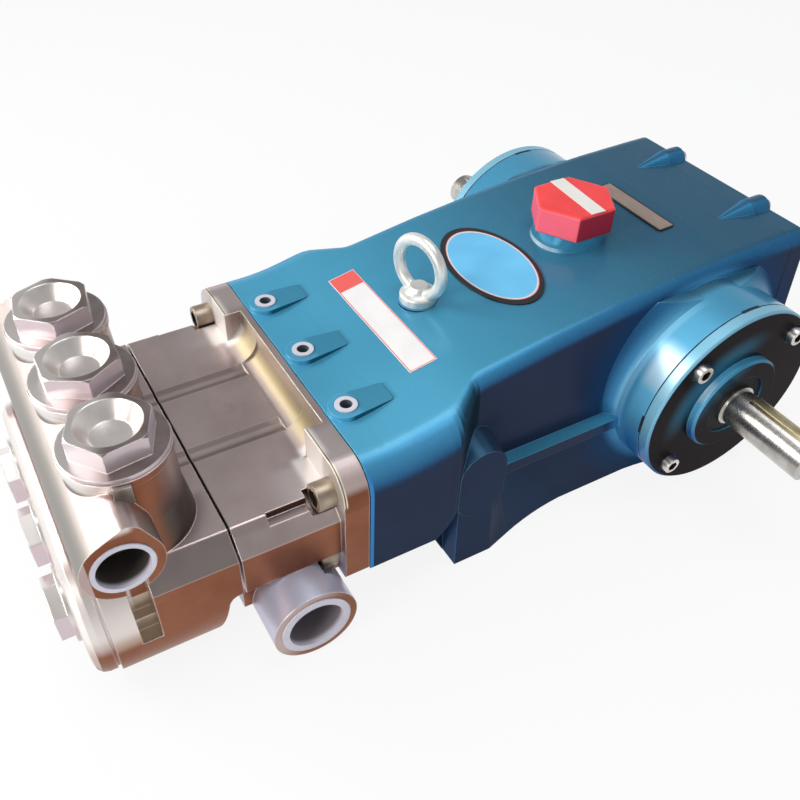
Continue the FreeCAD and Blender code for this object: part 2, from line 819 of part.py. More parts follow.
def inlet_manifold():
    face = nose_y - gasket_thickness
    seat = face - flange_thickness
    back = split_y + split_gap / 2
    lip = plate_y(flange_outline(), face - flange_lip, face)
    window_half = block_half - flange_pad
    pads = plate_y(flange_outline(), seat, face)
    window = [(-window_half, manifold_top - 2, 0), (window_half, manifold_top - 2, 0),
              (window_half, deck_height + 40, 0), (-window_half, deck_height + 40, 0)]
    pads = pads.cut(plate_y(window, seat - 1, face - flange_lip))
    body = plate_y(manifold_outline(manifold_top - side_depth - manifold_chamfer), back, face)
    port_y = nose_y - gallery_y
    tube = rod((-inlet_port_face, port_y, gallery_height), (1, 0, 0), gallery_radius, 2 * inlet_port_face)
    belly_half = manifold_half - 14
    belly = box(-belly_half, belly_half, back, face, gallery_height, manifold_top - side_depth)
    bay = cylinder_pitch / 2 + math.sqrt(2 * bay_groove_radius * bay_groove_depth)
    whole = [lip, pads, body, belly, tube, lip_fillet(-bay, bay, lip_sweep)]
    for side in pump_sides:
        ends = sorted((side * bay, side * (window_half + 1)))
        whole.append(lip_fillet(ends[0], ends[1], lip_sweep_side))
    whole = fuse(whole)
    for groove in bay_grooves(back - 1, face - flange_lip - lip_sweep):
        whole = whole.cut(groove)
    for side in pump_sides:
        whole = whole.cut(rod((side * (inlet_port_face - liner_depth - 60), port_y, gallery_height), (side, 0, 0),
                              inlet_bore, liner_depth + 61))
        whole = whole.cut(rod((side * (inlet_port_face - liner_depth), port_y, gallery_height), (side, 0, 0),
                              inlet_liner + seat_gap, liner_depth + 1))
    room = screw_head_radius + screw_room
    for x, z in flange_screw_places():
        whole = whole.cut(rod((x, seat, z), (0, -1, 0), room, screw_room_length))
        outward = sorted((x, math.copysign(block_half + 1, x)))
        if z > gallery_height + gallery_radius:
            whole = whole.cut(box(x - room, x + room, seat - screw_room_length, seat, z, deck_height))
            shelf = sorted((math.copysign(manifold_half - shelf_inset, x), math.copysign(block_half + 1, x)))
            whole = whole.cut(box(shelf[0], shelf[1], seat - shelf_length, seat, manifold_top - shelf_depth,
                                  deck_height))
        else:
            whole = whole.cut(box(outward[0], outward[1], seat - screw_room_length, seat, z - room, z + room))
    return whole


def flange_screw_places():
    return [(flange_screw_x * s, z) for s in pump_sides
            for z in (deck_height - flange_screw_drop, block_low + flange_screw_low)]


def flange_screws():
    screws = []
    seat = nose_y - gasket_thickness - flange_thickness
    for x, z in flange_screw_places():
        screws.append(front_screw(x, seat, z))
    return Part.makeCompound(screws)


def liner(side, face, y, z, outer, bore):
    """Plastic ring seated in a pipe port, a little proud of its face."""
    body = rod((side * (face - liner_depth + 2 * seat_gap), y, z), (side, 0, 0), outer,
               liner_depth - 2 * seat_gap + liner_proud)
    return body.cut(rod((side * (face - liner_depth - 1), y, z), (side, 0, 0), bore, liner_depth + liner_proud + 2))


def inlet_liners():
    return Part.makeCompound([liner(s, inlet_port_face, nose_y - gallery_y, gallery_height, inlet_liner,
                                    inlet_bore - bore_step) for s in pump_sides])


def discharge_liners():
    return Part.makeCompound([liner(s, port_face, nose_y - port_y, port_height, port_liner,
                                    port_bore - bore_step) for s in pump_sides])


def port_boss():
    """Discharge boss through the towers: a round with a smaller lobe drawn out toward them."""
    y = nose_y - port_y
    apart = math.hypot(port_lobe_y, port_lobe_z)
    heading = math.atan2(port_lobe_z, port_lobe_y)
    swing = math.acos((port_boss_radius - port_lobe_radius) / apart)
    corners = []
    for turn, cy, cz, radius in ((swing, y, port_height, port_boss_radius),
                                 (-swing, y, port_height, port_boss_radius),
                                 (-swing, y + port_lobe_y, port_height + port_lobe_z, port_lobe_radius),
                                 (swing, y + port_lobe_y, port_height + port_lobe_z, port_lobe_radius)):
        corners.append((cy + radius * math.cos(heading + turn), cz + radius * math.sin(heading + turn), 0))
    length = 2 * port_face
    big = rod((-port_face, y, port_height), (1, 0, 0), port_boss_radius, length)
    lobe = rod((-port_face, y + port_lobe_y, port_height + port_lobe_z), (1, 0, 0), port_lobe_radius, length)
    return fuse([big, lobe, plate_x(corners, -port_face, port_face)])


def low_nose():
    """Front end of the low body: a plate, a groove and a nose with a rounded rim."""
    plate = obround_y(nose_y - low_plate_front, nose_y - discharge_front, low_end_radius)
    neck = obround_y(nose_y - low_plate_front - low_groove_width, nose_y - low_plate_front,
                     low_end_radius - low_groove_depth)
    radius = low_end_radius - low_nose_inset
    front = nose_y - low_nose_front
    rim = [(nose_y - low_plate_front - low_groove_width, 0.0)]
    for part in (0, 1, 2, 3):
        angle = math.radians(30 * part)
        rim.append((front + low_nose_rounding * (1 - math.sin(angle)), low_nose_rounding * (1 - math.cos(angle))))
    nose = Part.makeLoft([obround_wire(y, radius - inset) for y, inset in rim], True, True)
    return fuse([plate, neck, nose])


def discharge_manifold():
    back = split_y - split_gap / 2
    front = nose_y - discharge_front
    upper = plate_y(manifold_outline(low_axis), front, back)
    for groove in bay_grooves(nose_y - tower_y, back + 1):
        upper = upper.cut(groove)
    shapes = [upper, obround_y(front, back, low_end_radius), low_nose(), port_boss()]
    y = nose_y - tower_y
    for x in cylinders:
        waist = tower_top - tower_waist_drop
        shapes.append(cone_z(x, y, manifold_top - 5, waist, tower_base, tower_waist))
        shapes.append(cone_z(x, y, waist, tower_top - tower_ring, tower_waist, tower_neck))
        shapes.append(rod((x, y, tower_top - tower_ring), (0, 0, 1), tower_radius, tower_ring))
    body = fuse(shapes)
    body = body.cut(rod((-port_face - 1, nose_y - port_y, port_height), (1, 0, 0), port_bore, 2 * port_face + 2))
    for side in pump_sides:
        body = body.cut(rod((side * (port_face - liner_depth), nose_y - port_y, port_height), (side, 0, 0),
                            port_liner + seat_gap, liner_depth + 1))
        body = body.cut(side_notch(side))
    heel = [(split_y + 1, low_bottom - 20, 0), (split_y - heel_depth, low_bottom - 20, 0),
            (split_y - heel_depth, low_bottom, 0), (split_y - heel_top_depth, deck_height - heel_drop, 10),
            (split_y + 1, deck_height - heel_drop, 0)]
    body = body.cut(plate_x(heel, -block_half, block_half))
    under = box(-block_half, block_half, nose_y - low_nose_front - 1, split_y, low_bottom - 2 * low_end_radius,
                low_bottom)
    return body.cut(under)


def side_notch(side):
    """Stepped pocket in the end of the low body, behind its front plate."""
    y0 = nose_y - low_plate_back
    y1 = nose_y - discharge_front
    deep = box(manifold_half - notch_depth, block_half, y0, y1, low_axis + notch_step_height, deck_height)
    step = box(manifold_half - notch_step, block_half, y0, y1, low_axis, deck_height)
    notch = deep.fuse(step)
    return notch if side > 0 else mirrored(notch)


def valve_plug(index):
    x = cylinders[index]
    turn = (50, 0, -23)[index]
    y = nose_y - tower_y
    rim = rod((x, y, tower_top), (0, 0, 1), tower_radius - 1.2, tower_rim)
    head = hexagon_z(x, y, tower_top + tower_rim, valve_hex, valve_hex_height, turn)
    corner = valve_hex / math.sqrt(3)
    bevel = Part.makeCone(corner + valve_hex_height - 2, corner - 2, valve_hex_height,
                          vec(x, y, tower_top + tower_rim))
    plug = fuse([rim, head.common(bevel)])
    top = tower_top + tower_rim + valve_hex_height
    return plug.cut(Part.makeCone(valve_floor, valve_recess, valve_recess_depth,
                                  vec(x, y, top - valve_recess_depth)))


def low_plug(index):
    """Round plug with a hexagon head and a recess, in the front face under a tower."""
    x = cylinders[index]
    start = nose_y - low_nose_front
    flange = rod((x, start, low_axis), (0, -1, 0), low_plug_radius, low_plug_length)
    head = turned_to_front(hexagon_z(x, 0, 0, low_plug_hex, low_plug_hex_height, 30), start - low_plug_length,
                           low_axis)
    plug = fuse([flange, head])
    return plug.cut(rod((x, start - low_plug_length - 3, low_axis), (0, -1, 0), low_plug_recess,
                        low_plug_hex_height))


def manifold_seal():
    half = manifold_half - manifold_chamfer - seal_margin
    low = manifold_top - side_depth + seal_margin
    high = manifold_top - seal_margin
    outline = [(-half, low, seal_corner), (half, low, seal_corner), (half, high, seal_corner),
               (-half, high, seal_corner)]
    return plate_y(outline, split_y - split_gap / 2, split_y + split_gap / 2)


def flange_gasket():
    outline = [(-block_half + 1, block_low + 1, flange_low_radius), (block_half - 1, block_low + 1, flange_low_radius),
               (block_half - 1, deck_height - 1, block_top_radius), (-block_half + 1, deck_height - 1, block_top_radius)]
    return plate_y(outline, nose_y - gasket_thickness, nose_y)


save("crankcase", crankcase())
save("rear_cover_gasket", rear_plate(rear_y, rear_y + gasket_thickness))
save("rear_cover", rear_cover())
save("rear_cover_screws", rear_cover_screws())
save("oil_sight_glass", sight_glass())
save("drain_plug", drain_plug())
for side, name in ((1, "right"), (-1, "left")):
    save("bearing_cover_" + name, bearing_cover(side))
    save("cover_screws_" + name, cover_screws(side))
    save("cover_shims_" + name, cover_shims(side))
    save("bearing_" + name, bearing(side))
    save("shaft_seal_" + name, shaft_seal(side))
save("crankshaft", crankshaft())
save("filler_neck", filler_neck())
save("filler_cap", filler_cap())
save("eyebolt", eyebolt())
save("plug_inserts", plug_inserts())
save("oval_badge", oval_badge())
save("name_strip", name_strip())
save("blank_label", blank_label())
save("flange_gasket", flange_gasket())
save("inlet_manifold", inlet_manifold())
save("flange_screws", flange_screws())
save("inlet_liners", inlet_liners())
save("manifold_seal", manifold_seal())
save("discharge_manifold", discharge_manifold())
save("discharge_liners", discharge_liners())
for number in range(3):
    save("valve_plug_" + str(number + 1), valve_plug(number))
    save("low_plug_" + str(number + 1), low_plug(number))
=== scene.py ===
import json
import math

import bmesh
import bpy
from mathutils import Matrix, Vector


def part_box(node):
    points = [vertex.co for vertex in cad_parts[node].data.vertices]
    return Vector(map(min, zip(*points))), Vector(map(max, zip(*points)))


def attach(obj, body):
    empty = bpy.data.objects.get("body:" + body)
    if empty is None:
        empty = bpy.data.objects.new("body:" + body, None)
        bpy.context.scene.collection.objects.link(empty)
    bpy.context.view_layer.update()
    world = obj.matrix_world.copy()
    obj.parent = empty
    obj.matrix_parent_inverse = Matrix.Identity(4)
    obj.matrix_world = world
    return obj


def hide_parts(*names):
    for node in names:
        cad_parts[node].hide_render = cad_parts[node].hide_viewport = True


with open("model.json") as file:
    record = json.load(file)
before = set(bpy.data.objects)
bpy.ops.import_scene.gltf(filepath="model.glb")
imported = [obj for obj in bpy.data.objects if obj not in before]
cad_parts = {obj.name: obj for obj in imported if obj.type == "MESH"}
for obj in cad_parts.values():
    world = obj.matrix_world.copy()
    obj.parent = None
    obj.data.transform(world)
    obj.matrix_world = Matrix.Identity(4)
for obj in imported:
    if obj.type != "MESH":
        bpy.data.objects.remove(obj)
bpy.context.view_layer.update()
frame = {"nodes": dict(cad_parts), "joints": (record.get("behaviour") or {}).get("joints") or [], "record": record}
nodes = frame["nodes"]
scene = bpy.context.scene
scene.view_settings.view_transform = "Standard"
print("frame loaded:", len(nodes), "nodes")


# Camera

cameraSet = {
    "place": (0.5288, -0.4726, 0.6259),
    "azimuth": 61.532,
    "elevation": 45.165,
    "roll": 0.084,
    "lens": 38.182,
    "sensor": 36,
    "shift": (0.0437, 0.0607),
    "nearest": 0.01,
}


def addCamera(values):
    a = math.radians(values["azimuth"])
    e = math.radians(values["elevation"])
    r = math.radians(values["roll"])
    forward = Vector((-math.sin(a) * math.cos(e), math.cos(a) * math.cos(e), -math.sin(e)))
    right = Vector((math.cos(a), math.sin(a), 0))
    up = right.cross(forward)
    turnedRight = right * math.cos(r) + up * math.sin(r)
    turnedUp = up * math.cos(r) - right * math.sin(r)
    axes = Matrix((turnedRight, turnedUp, -forward)).transposed()
    data = bpy.data.cameras.new("photoCamera")
    data.lens = values["lens"]
    data.sensor_width = values["sensor"]
    data.shift_x, data.shift_y = values["shift"]
    data.clip_start = values["nearest"]
    camera = bpy.data.objects.new("photoCamera", data)
    camera.matrix_world = Matrix.Translation(values["place"]) @ axes.to_4x4()
    scene.collection.objects.link(camera)
    scene.camera = camera


addCamera(cameraSet)
print("camera set")


# Shader writing

class Value:
    # wraps one socket, so that maths on it adds Math nodes
    def __init__(self, shader, socket):
        self.shader = shader
        self.socket = socket

    def maths(self, operation, *others):
        return self.shader.node("ShaderNodeMath", {"operation": operation}, (self,) + others)

    def __add__(self, other):
        return self.maths("ADD", other)

    def __mul__(self, other):
        return self.maths("MULTIPLY", other)

    def __sub__(self, other):
        return self.maths("SUBTRACT", other)

    def __rsub__(self, other):
        return self.shader.node("ShaderNodeMath", {"operation": "SUBTRACT"}, (other, self))

    def __truediv__(self, other):
        return self.maths("DIVIDE", other)

    def __pow__(self, other):
        return self.maths("POWER", other)

    def __abs__(self):
        return self.maths("ABSOLUTE")

    def __neg__(self):
        return self * -1

    __radd__ = __add__
    __rmul__ = __mul__

    def least(self, other):
        return self.maths("MINIMUM", other)

    def most(self, other):
        return self.maths("MAXIMUM", other)

    def ramp(self, low, high, toLow=0.0, toHigh=1.0):
        # smooth step from toLow at low to toHigh at high
        return self.shader.node("ShaderNodeMapRange", {"interpolation_type": "SMOOTHSTEP"},
                                (self, low, high, toLow, toHigh))


class Nodes:
    # one node tree, written as expressions
    def __init__(self, tree):
        self.tree = tree
        tree.nodes.clear()

    def node(self, kind, settings=None, values=(), out=0):
        made = self.tree.nodes.new(kind)
        for key, setting in (settings or {}).items():
            setattr(made, key, setting)
        pairs = values.items() if isinstance(values, dict) else enumerate(values)
        for key, value in pairs:
            self.plug(made.inputs[key], value)
        return Value(self, made.outputs[out]) if len(made.outputs) else made

    def plug(self, target, value):
        if isinstance(value, Value):
            self.tree.links.new(value.socket, target)
        elif value is not None:
            target.default_value = value

    def axes(self, vector):
        split = self.node("ShaderNodeSeparateXYZ", {}, (vector,)).socket.node
        return [Value(self, split.outputs[axis]) for axis in "XYZ"]

    def seenDirectly(self):
        # 1 for rays from the camera, a mirror or glass
        camera, mirror, glass = [self.node("ShaderNodeLightPath", out=f"Is {ray} Ray")
                                 for ray in ("Camera", "Glossy", "Transmission")]
        return camera.most(mirror).most(glass)


class Shader(Nodes):
    # one material
    def __init__(self, name, **constants):
        self.material = bpy.data.materials.new(name)
        self.material.use_nodes = True
        super().__init__(self.material.node_tree)
        self.surface = self.tree.nodes.new("ShaderNodeBsdfPrincipled")
        self.output = self.node("ShaderNodeOutputMaterial", {}, (Value(self, self.surface.outputs[0]),))
        self.set(**constants)

    def set(self, **values):
        for key, value in values.items():
            self.plug(self.surface.inputs[key.replace("_", " ")], value)
        return self.material

    def place(self):
        return self.node("ShaderNodeTexCoord", out="Object")

    def own(self):
        return self.node("ShaderNodeNewGeometry", out="Normal")

    def facing(self):
        # the surface's own direction, in the object's axes
        return self.axes(self.own())

    def noise(self, scale, detail=3.0, roughness=0.5, stretch=(1, 1, 1)):
        spread = self.node("ShaderNodeMapping", {}, {"Vector": self.place(), "Scale": stretch})
        return self.node("ShaderNodeTexNoise", {}, {"Vector": spread, "Scale": scale, "Detail": detail,
                                                     "Roughness": roughness})

    def mix(self, factor, first, second):
        # inputs 6 and 7 and output 2 are the node's colour sockets
        first, second = [(*value, 1) if isinstance(value, tuple) else value for value in (first, second)]
        return self.node("ShaderNodeMix", {"data_type": "RGBA"}, {0: factor, 6: first, 7: second}, 2)

    def mottle(self, cloud, tones):
        # two tones in soft clouds
        return self.mix(cloud.ramp(0.3, 0.7), *tones)

    def bump(self, height, distance, strength=1.0, under=None):
        return self.node("ShaderNodeBump", {}, {"Height": height, "Distance": distance, "Strength": strength,
                                                "Normal": under})

    def edges(self, radius):
        return self.node("ShaderNodeBevel", {"samples": 6}, {"Radius": radius})

    def highlitEdges(self, radius):
        # 1 along edges, where the rounded normal leaves the face's own; the materials paint highlights there
        pair = (self.edges(radius), self.own())
        along = self.node("ShaderNodeVectorMath", {"operation": "DOT_PRODUCT"}, pair, "Value")
        return (1 - along).ramp(0.02, 0.22)


# Materials: places are in metres, and the limits on nx, ny and nz run from -1 to 1

shaftLine = frame["joints"][0]["pos_m"]
cylinderPitch = 0.08
plugBossY = -0.2466
towerY = -0.4271
fineEdge = 0.0006  # rounding of a small piece's edges in its shading

enamelSet = {
    "front": (0.066, 0.330, 0.515),
    "rear": (0.024, 0.098, 0.172),
    "shoulder": (0.095, 0.390, 0.590),
    "slope": (0.030, 0.170, 0.400),
    "bend": (0.010, 0.026, 0.040),
    "housing": (0.060, 0.290, 0.470),
    "barrel": (0.140, 0.500, 0.780),
    "glow": (0.900, 0.880, 0.830),
    "coverRim": (0.340, 0.620, 0.750),
    "fairing": (0.035, 0.190, 0.360),
    "frontEdge": (0.050, 0.260, 0.640),
    "root": (0.060, 0.280, 0.540),
    "rootFar": (0.014, 0.062, 0.160),
    "lip": (0.400, 0.800, 1.000),
    "upright": (0.007, 0.055, 0.190),
    "foot": (0.020, 0.150, 0.450),
    "side": (0.026, 0.037, 0.078),
    "plate": (0.012, 0.007, 0.009),
    "sheen": (0.035, 0.160, 0.260),
    "bossRound": (0.10, 0.45, 0.70),
    "bossTail": (0.016, 0.130, 0.210),
    "flake": (0.30, 0.55, 0.68),
    "edge": (0.20, 0.52, 0.80),
}

# how strongly each tone covers what lies under it
enamelShare = {
    "shoulder": 0.6, "slope": 0.5, "bend": 0.9, "glow": 0.4, "fairing": 0.6, "side": 0.8, "root": 0.9, "lip": 0.4,
    "tail": 0.42, "cloud": 0.12, "flake": 0.22, "coverRim": 0.6, "sheen": 0.9, "edge": 0.55,
}

# where each tone starts and ends; a third number is how softly a band fades out
enamelAt = {
    "deckY": (-0.26, 0.17),
    "shoulderX": (-0.02, 0.14),
    "shoulderY": (-0.13, -0.19),
    "housingX": (0.122, 0.132),
    "housingY": (-0.1, 0.0),
    "nearX": (-0.1, 0.1),
    "rootX": (0.150, 0.140),
    "rootReach": (0.142, 0.096),
    "coneReach": (0.094, 0.108),
    "lipX": (0.1325, 0.1375, 0.004),
    "glowX": (0.136, 0.146),
    "glowAim": (0.57, 0.82),
    "uprightZ": (0.12, 0.07),
    "bendX": (0.085, 0.100),
    "bendY": (-0.200, -0.120, 0.012),
    "fairingX": (0.0445, 0.0695),
    "fairingY": (0.135, 0.150),
    "fairingZ": (0.19, 0.20),
    "padX": (0.116, 0.120),
    "padY": (-0.187, -0.122),
    "padZ": (0.142, 0.138),
    "footZ": (0.090, 0.060),
    "bossX": (0.105, 0.1),
    "bossY": (-0.2622, -0.205),
    "bossZ": (0.160, 0.165),
    "tailHalf": (0.0153, 0.0148),
    "tailTaper": 0.105,
    "tailY": (-0.236, -0.2087, 0.006),
    "coverRimReach": (0.0905, 0.0925),
    "sheenReach": (0.078, 0.056),
    "sheenRise": (0.03, 0.08),
    "frontEdgeY": (-0.2595, -0.2602),
    "frontEdgeZ": (0.03, 0.04),
    "rearJointY": (0.192, 0.203),
    "dullZ": (0.02, 0.12),
}

# the coat's weight and what takes from it, roughness, and the noises: scale, detail, roughness and stretch
enamelGloss = {
    "coat": 0.38, "coatOfPeel": 0.2, "coatOfHousing": 0.38, "offEnd": 0.9, "offRoot": 0.95, "offBend": 0.85,
    "offPad": 0.9, "lowCoat": 0.12, "plateCoat": 0.5, "rough": 0.27, "roughCloud": 0.10,
    "cloud": (9, 4.0, 0.55), "flake": (900, 2.0, 0.7), "peel": (55, 3.0, 0.5), "peelDepth": 0.00022,
    "peelStrength": 0.45, "wornEdge": 0.0014, "roundEdge": 0.0016,
}


def between(value, low, high, soft=0.002):
    return value.ramp(low - soft, low) * value.ramp(high + soft, high)


def fromCylinder(x):
    # distance along X from the middle of the nearest cylinder
    return x.maths("WRAP", cylinderPitch / 2, -cylinderPitch / 2)


def caseEnamel(name, paintedCoverFace=False):
    # glossy metallic enamel with painted light: greener and brighter in front, darker to the rear and lighter on faces
    # turned up, painted shade in deep blue on upright faces
    tone, share, at, gloss = enamelSet, enamelShare, enamelAt, enamelGloss
    s = Shader(name, Metallic=0.25, Coat_Roughness=0.16, Specular_IOR_Level=0.0)
    x, y, z = s.axes(s.place())
    nx, ny, nz = s.facing()
    across = y - shaftLine[1]
    rise = z - shaftLine[2]
    reach = (across * across + rise * rise) ** 0.5
    near = x.ramp(*at["nearX"])
    housing = abs(x).ramp(*at["housingX"]) * y.ramp(*at["housingY"])
    end = abs(nx).ramp(0.55, 0.95)
    cloud = s.noise(*gloss["cloud"])

    # painted light and shade: the deck lighter toward the front with a painted highlight on the shoulders, lighter
    # faces turned up, painted shade on upright faces, less of it low down
    deck = s.mix(y.ramp(*at["deckY"]), tone["front"], tone["rear"])
    curved = (x.ramp(*at["shoulderX"]) * share["shoulder"]).most(nz.ramp(0.995, 0.93))
    deck = s.mix(y.ramp(*at["shoulderY"]) * curved, deck, tone["shoulder"])
    lit = s.mix(housing, deck, tone["housing"])
    upright = s.mix(z.ramp(*at["uprightZ"]), tone["upright"], tone["foot"])
    low = s.mix(end, upright, tone["side"])
    colour = s.mix(nz.ramp(0.20, 0.85), low, lit)
    # painted shade on the sloped faces along the deck's sides and, as bend, on the faces behind the shoulder step
    slope = nz.ramp(0.985, 0.90) * abs(nx).ramp(0.05, 0.25) * (1 - housing) * nz.ramp(0.05, 0.4)
    colour = s.mix(slope * share["slope"], colour, tone["slope"])
    bend = between(y, *at["bendY"]) * ny.ramp(0.0, 0.42) * nz.ramp(1.0, 0.90) * abs(x).ramp(*at["bendX"])
    colour = s.mix(bend * share["bend"], colour, tone["bend"])

    # painted light on the housings' barrels: a lighter front side, and a painted highlight (glow) on the near one
    turned = housing * (-ny).ramp(0.1, 0.8) * nz.ramp(-0.5, 0.3)
    colour = s.mix(turned * near, colour, tone["barrel"])
    up, forward = at["glowAim"]
    glow = (nz * up - ny * forward).ramp(0.955, 1.0) * x.ramp(*at["glowX"]) * housing
    colour = s.mix(glow * share["glow"], colour, tone["glow"])

    # painted light on the sloped flanks of the screw fairings, painted shade on the side pads' tops and on the low
    # parts of the case (feet), except faces to the front
    fairing = y.ramp(*at["fairingY"]) * between(abs(x), *at["fairingX"])
    fairing = fairing * nz.ramp(0.975, 0.90) * z.ramp(*at["fairingZ"])
    colour = s.mix(fairing * share["fairing"], colour, tone["fairing"])
    pad = abs(x).ramp(*at["padX"]) * between(y, *at["padY"]) * z.ramp(*at["padZ"])
    foot = z.ramp(*at["footZ"]) * (1 - (-ny).ramp(0.3, 0.8)) * (1 - housing)
    colour = s.mix(pad.most(foot) * share["side"], colour, tone["side"])

    # painted shading on the cones at the housings' roots, lighter by the barrels and darker out on the wall, and a
    # painted highlight along their lips
    root = reach.ramp(*at["rootReach"]) * abs(x).ramp(*at["rootX"]) * (1 - nz.ramp(0.3, 0.8))
    cone = s.mix(reach.ramp(*at["coneReach"]), tone["root"], tone["rootFar"])
    colour = s.mix(root * share["root"], colour, cone)
    lip = between(abs(x), *at["lipX"]) * turned * near
    colour = s.mix(lip * share["lip"], colour, tone["lip"])

    # the three plug bosses, with painted light on their fronts and painted shade on their sides and tails
    boss = z.ramp(*at["bossZ"]) * between(y, *at["bossY"]) * abs(x).ramp(*at["bossX"])
    rim = s.mix((-ny).ramp(-0.1, 0.4), tone["bossTail"], tone["bossRound"])
    colour = s.mix(boss * nz.ramp(0.9, 0.6), colour, rim)
    beside = abs(fromCylinder(x)) + (y - plugBossY) * at["tailTaper"]
    tail = beside.ramp(*at["tailHalf"]) * between(y, *at["tailY"]) * abs(x).ramp(*at["bossX"])
    colour = s.mix(tail * share["tail"], colour, tone["bossTail"])

    # clouds in the paint, and metal flakes shown as painted glints on faces turned up only
    colour = s.mix(cloud.ramp(0.40, 0.75) * share["cloud"], colour, tone["rear"])
    flake = s.noise(*gloss["flake"])
    colour = s.mix(flake.ramp(0.55, 0.85) * nz.ramp(0.0, 0.6) * share["flake"], colour, tone["flake"])

    if paintedCoverFace:
        # painted light on the covers: a painted highlight on the rim, the face painted near black as a dark
        # reflection, with a painted sheen toward the hub
        coverRim = reach.ramp(*at["coverRimReach"]) * nz.ramp(-0.5, 0.3)
        colour = s.mix(coverRim * share["coverRim"], colour, tone["coverRim"])
        sheen = reach.ramp(*at["sheenReach"]) * (rise - across).ramp(*at["sheenRise"]) * near
        face = s.mix(sheen * share["sheen"], tone["plate"], tone["sheen"])
        colour = s.mix(abs(nx).ramp(0.975, 0.995), colour, face)

    # painted highlights: lighter blue on the front block's front edge, and along all edges but the rear joint
    band = y.ramp(*at["frontEdgeY"]) * end * z.ramp(*at["frontEdgeZ"])
    colour = s.mix(band, colour, tone["frontEdge"])
    edge = s.highlitEdges(gloss["wornEdge"]) * (nz - ny * 0.7).ramp(-0.3, 0.5) * (1 - between(y, *at["rearJointY"]))
    colour = s.mix(edge * share["edge"], colour, tone["edge"])

    peel = s.noise(*gloss["peel"])
    height = s.bump(peel, gloss["peelDepth"], gloss["peelStrength"], s.edges(gloss["roundEdge"]))
    coat = peel * gloss["coatOfPeel"] + gloss["coat"] + housing * gloss["coatOfHousing"]
    coat = coat * (1 - end * gloss["offEnd"]) * (1 - root * gloss["offRoot"])
    coat = coat * (1 - slope.most(bend) * gloss["offBend"])
    coat = coat * (1 - pad * gloss["offPad"]) * z.ramp(*at["dullZ"], gloss["lowCoat"], 1.0)
    if paintedCoverFace:
        coat = coat * gloss["plateCoat"]
    rough = cloud * gloss["roughCloud"] + gloss["rough"]
    return s.set(Base_Color=colour, Roughness=rough, Coat_Weight=coat, Normal=height)


nickelSet = {
    "top": (0.530, 0.425, 0.415),
    "topLight": (0.630, 0.525, 0.510),
    "front": (0.84, 0.79, 0.76),
    "frontLow": (0.72, 0.53, 0.46),
    "pocket": (0.93, 0.89, 0.88),
    "cream": (0.58, 0.49, 0.31),
    "flangeFace": (0.42, 0.40, 0.38),
    "grooveNear": (0.190, 0.150, 0.135),
    "grooveFar": (0.260, 0.205, 0.180),
    "notch": (0.66, 0.56, 0.46),
    "portBoss": (0.175, 0.166, 0.150),
    "shade": (0.085, 0.070, 0.064),
    "snout": (0.95, 0.90, 0.87),
    "bead": (0.90, 0.84, 0.66),
    "slot": (0.060, 0.030, 0.026),
    "stain": (0.200, 0.135, 0.105),
    "edge": (0.95, 0.90, 0.83),
    "tube": (0.72, 0.76, 0.94),
    "tubeLow": (0.58, 0.55, 0.68),
    "end": (0.215, 0.074, 0.036),
    "endLight": (0.275, 0.108, 0.060),
}

nickelShare = {
    "flangeFace": 0.5, "portBoss": 0.8, "stain": 0.25, "side": 0.9, "groove": 0.7, "plate": 0.5, "contact": 0.6,
    "tower": 0.95, "towerTop": 0.15, "chamfer": 0.42, "snout": 0.7, "screw": 0.3, "gleam": 0.8, "bead": 0.85,
    "beadLine": 0.7, "slot": 0.85, "edge": 0.55, "brownOffNose": 0.8, "brownOffInlet": 0.75,
}

nickelAt = {
    "frontZ": (0.090, 0.060),
    "creamX": (0.086, 0.104),
    "flangeY": (-0.31, -0.28),
    "highY": (-0.436, -0.442),
    "highZ": (0.196, 0.203),
    "portBossY": (-0.436, -0.440),
    "portBossZ": (0.138, 0.142),
    "sideX": (0.080, 0.150, 0.008),
    "sideY": (-0.300, -0.290),
    "sideZ": (0.118, 0.126),
    "grooveX": (0.090, 0.085),
    "grooveZ": (0.125, 0.128),
    "inletY": (-0.372, -0.370),
    "tubeZ": (0.082, 0.078),
    "inletEndX": (0.168, 0.171),
    "inletEndZ": (0.080, 0.076),
    "lowSide": (-0.2994, -0.2674),
    "lowSideAim": (0.8, 0.5),
    "noseY": (-0.4735, -0.4745),
    "noseZ": (0.066, 0.078),
    "notchInX": (0.118, 0.121),
    "notchOutX": (0.1440, 0.1430),
    "notchY": (-0.4542, -0.4382),
    "notchZ": (0.0675, 0.098, 0.001),
    "plateX": (0.10, 0.12),
    "plateY": (-0.4735, -0.4548, 0.0008),
    "plateZ": (0.076, 0.100, 0.010),
    "towerY": (-0.375, -0.385),
    "towerZ": (0.1345, 0.137),
    "behindZ": (0.200, 0.160),
    "contactReach": (0.060, 0.042),
    "contactX": (0.075, 0.085),
    "contactZ": (0.120, 0.1385),
    "chamferY": (-0.446, -0.3725, 0.003),
    "snoutY": (-0.4495, -0.4515),
    "snoutZ": (0.088, 0.120, 0.014),
    "screwX": (0.095, 0.150, 0.012),
    "screwY": (-0.335, -0.305),
    "screwZ": (0.130, 0.134),
    "gleamX": (0.088, 0.112, 0.008),
    "gleamY": (-0.296, -0.2850, 0.007),
    "gleamZ": (0.1300, 0.1340),
    "lipX": (0.0852, 0.0856),
    "lipZ": (0.135, 0.140),
    "beadFrontY": (-0.2862, -0.2849, 0.0002),
    "beadLineY": (-0.2847, -0.2840, 0.0003),
    "beadBackY": (-0.2838, -0.2827, 0.0002),
    "slotX": (0.134, 0.130),
    "slotY": (-0.37, -0.28),
    "slotZ": (0.120, 0.125),
    "windowZ": (0.128, 0.134),
}

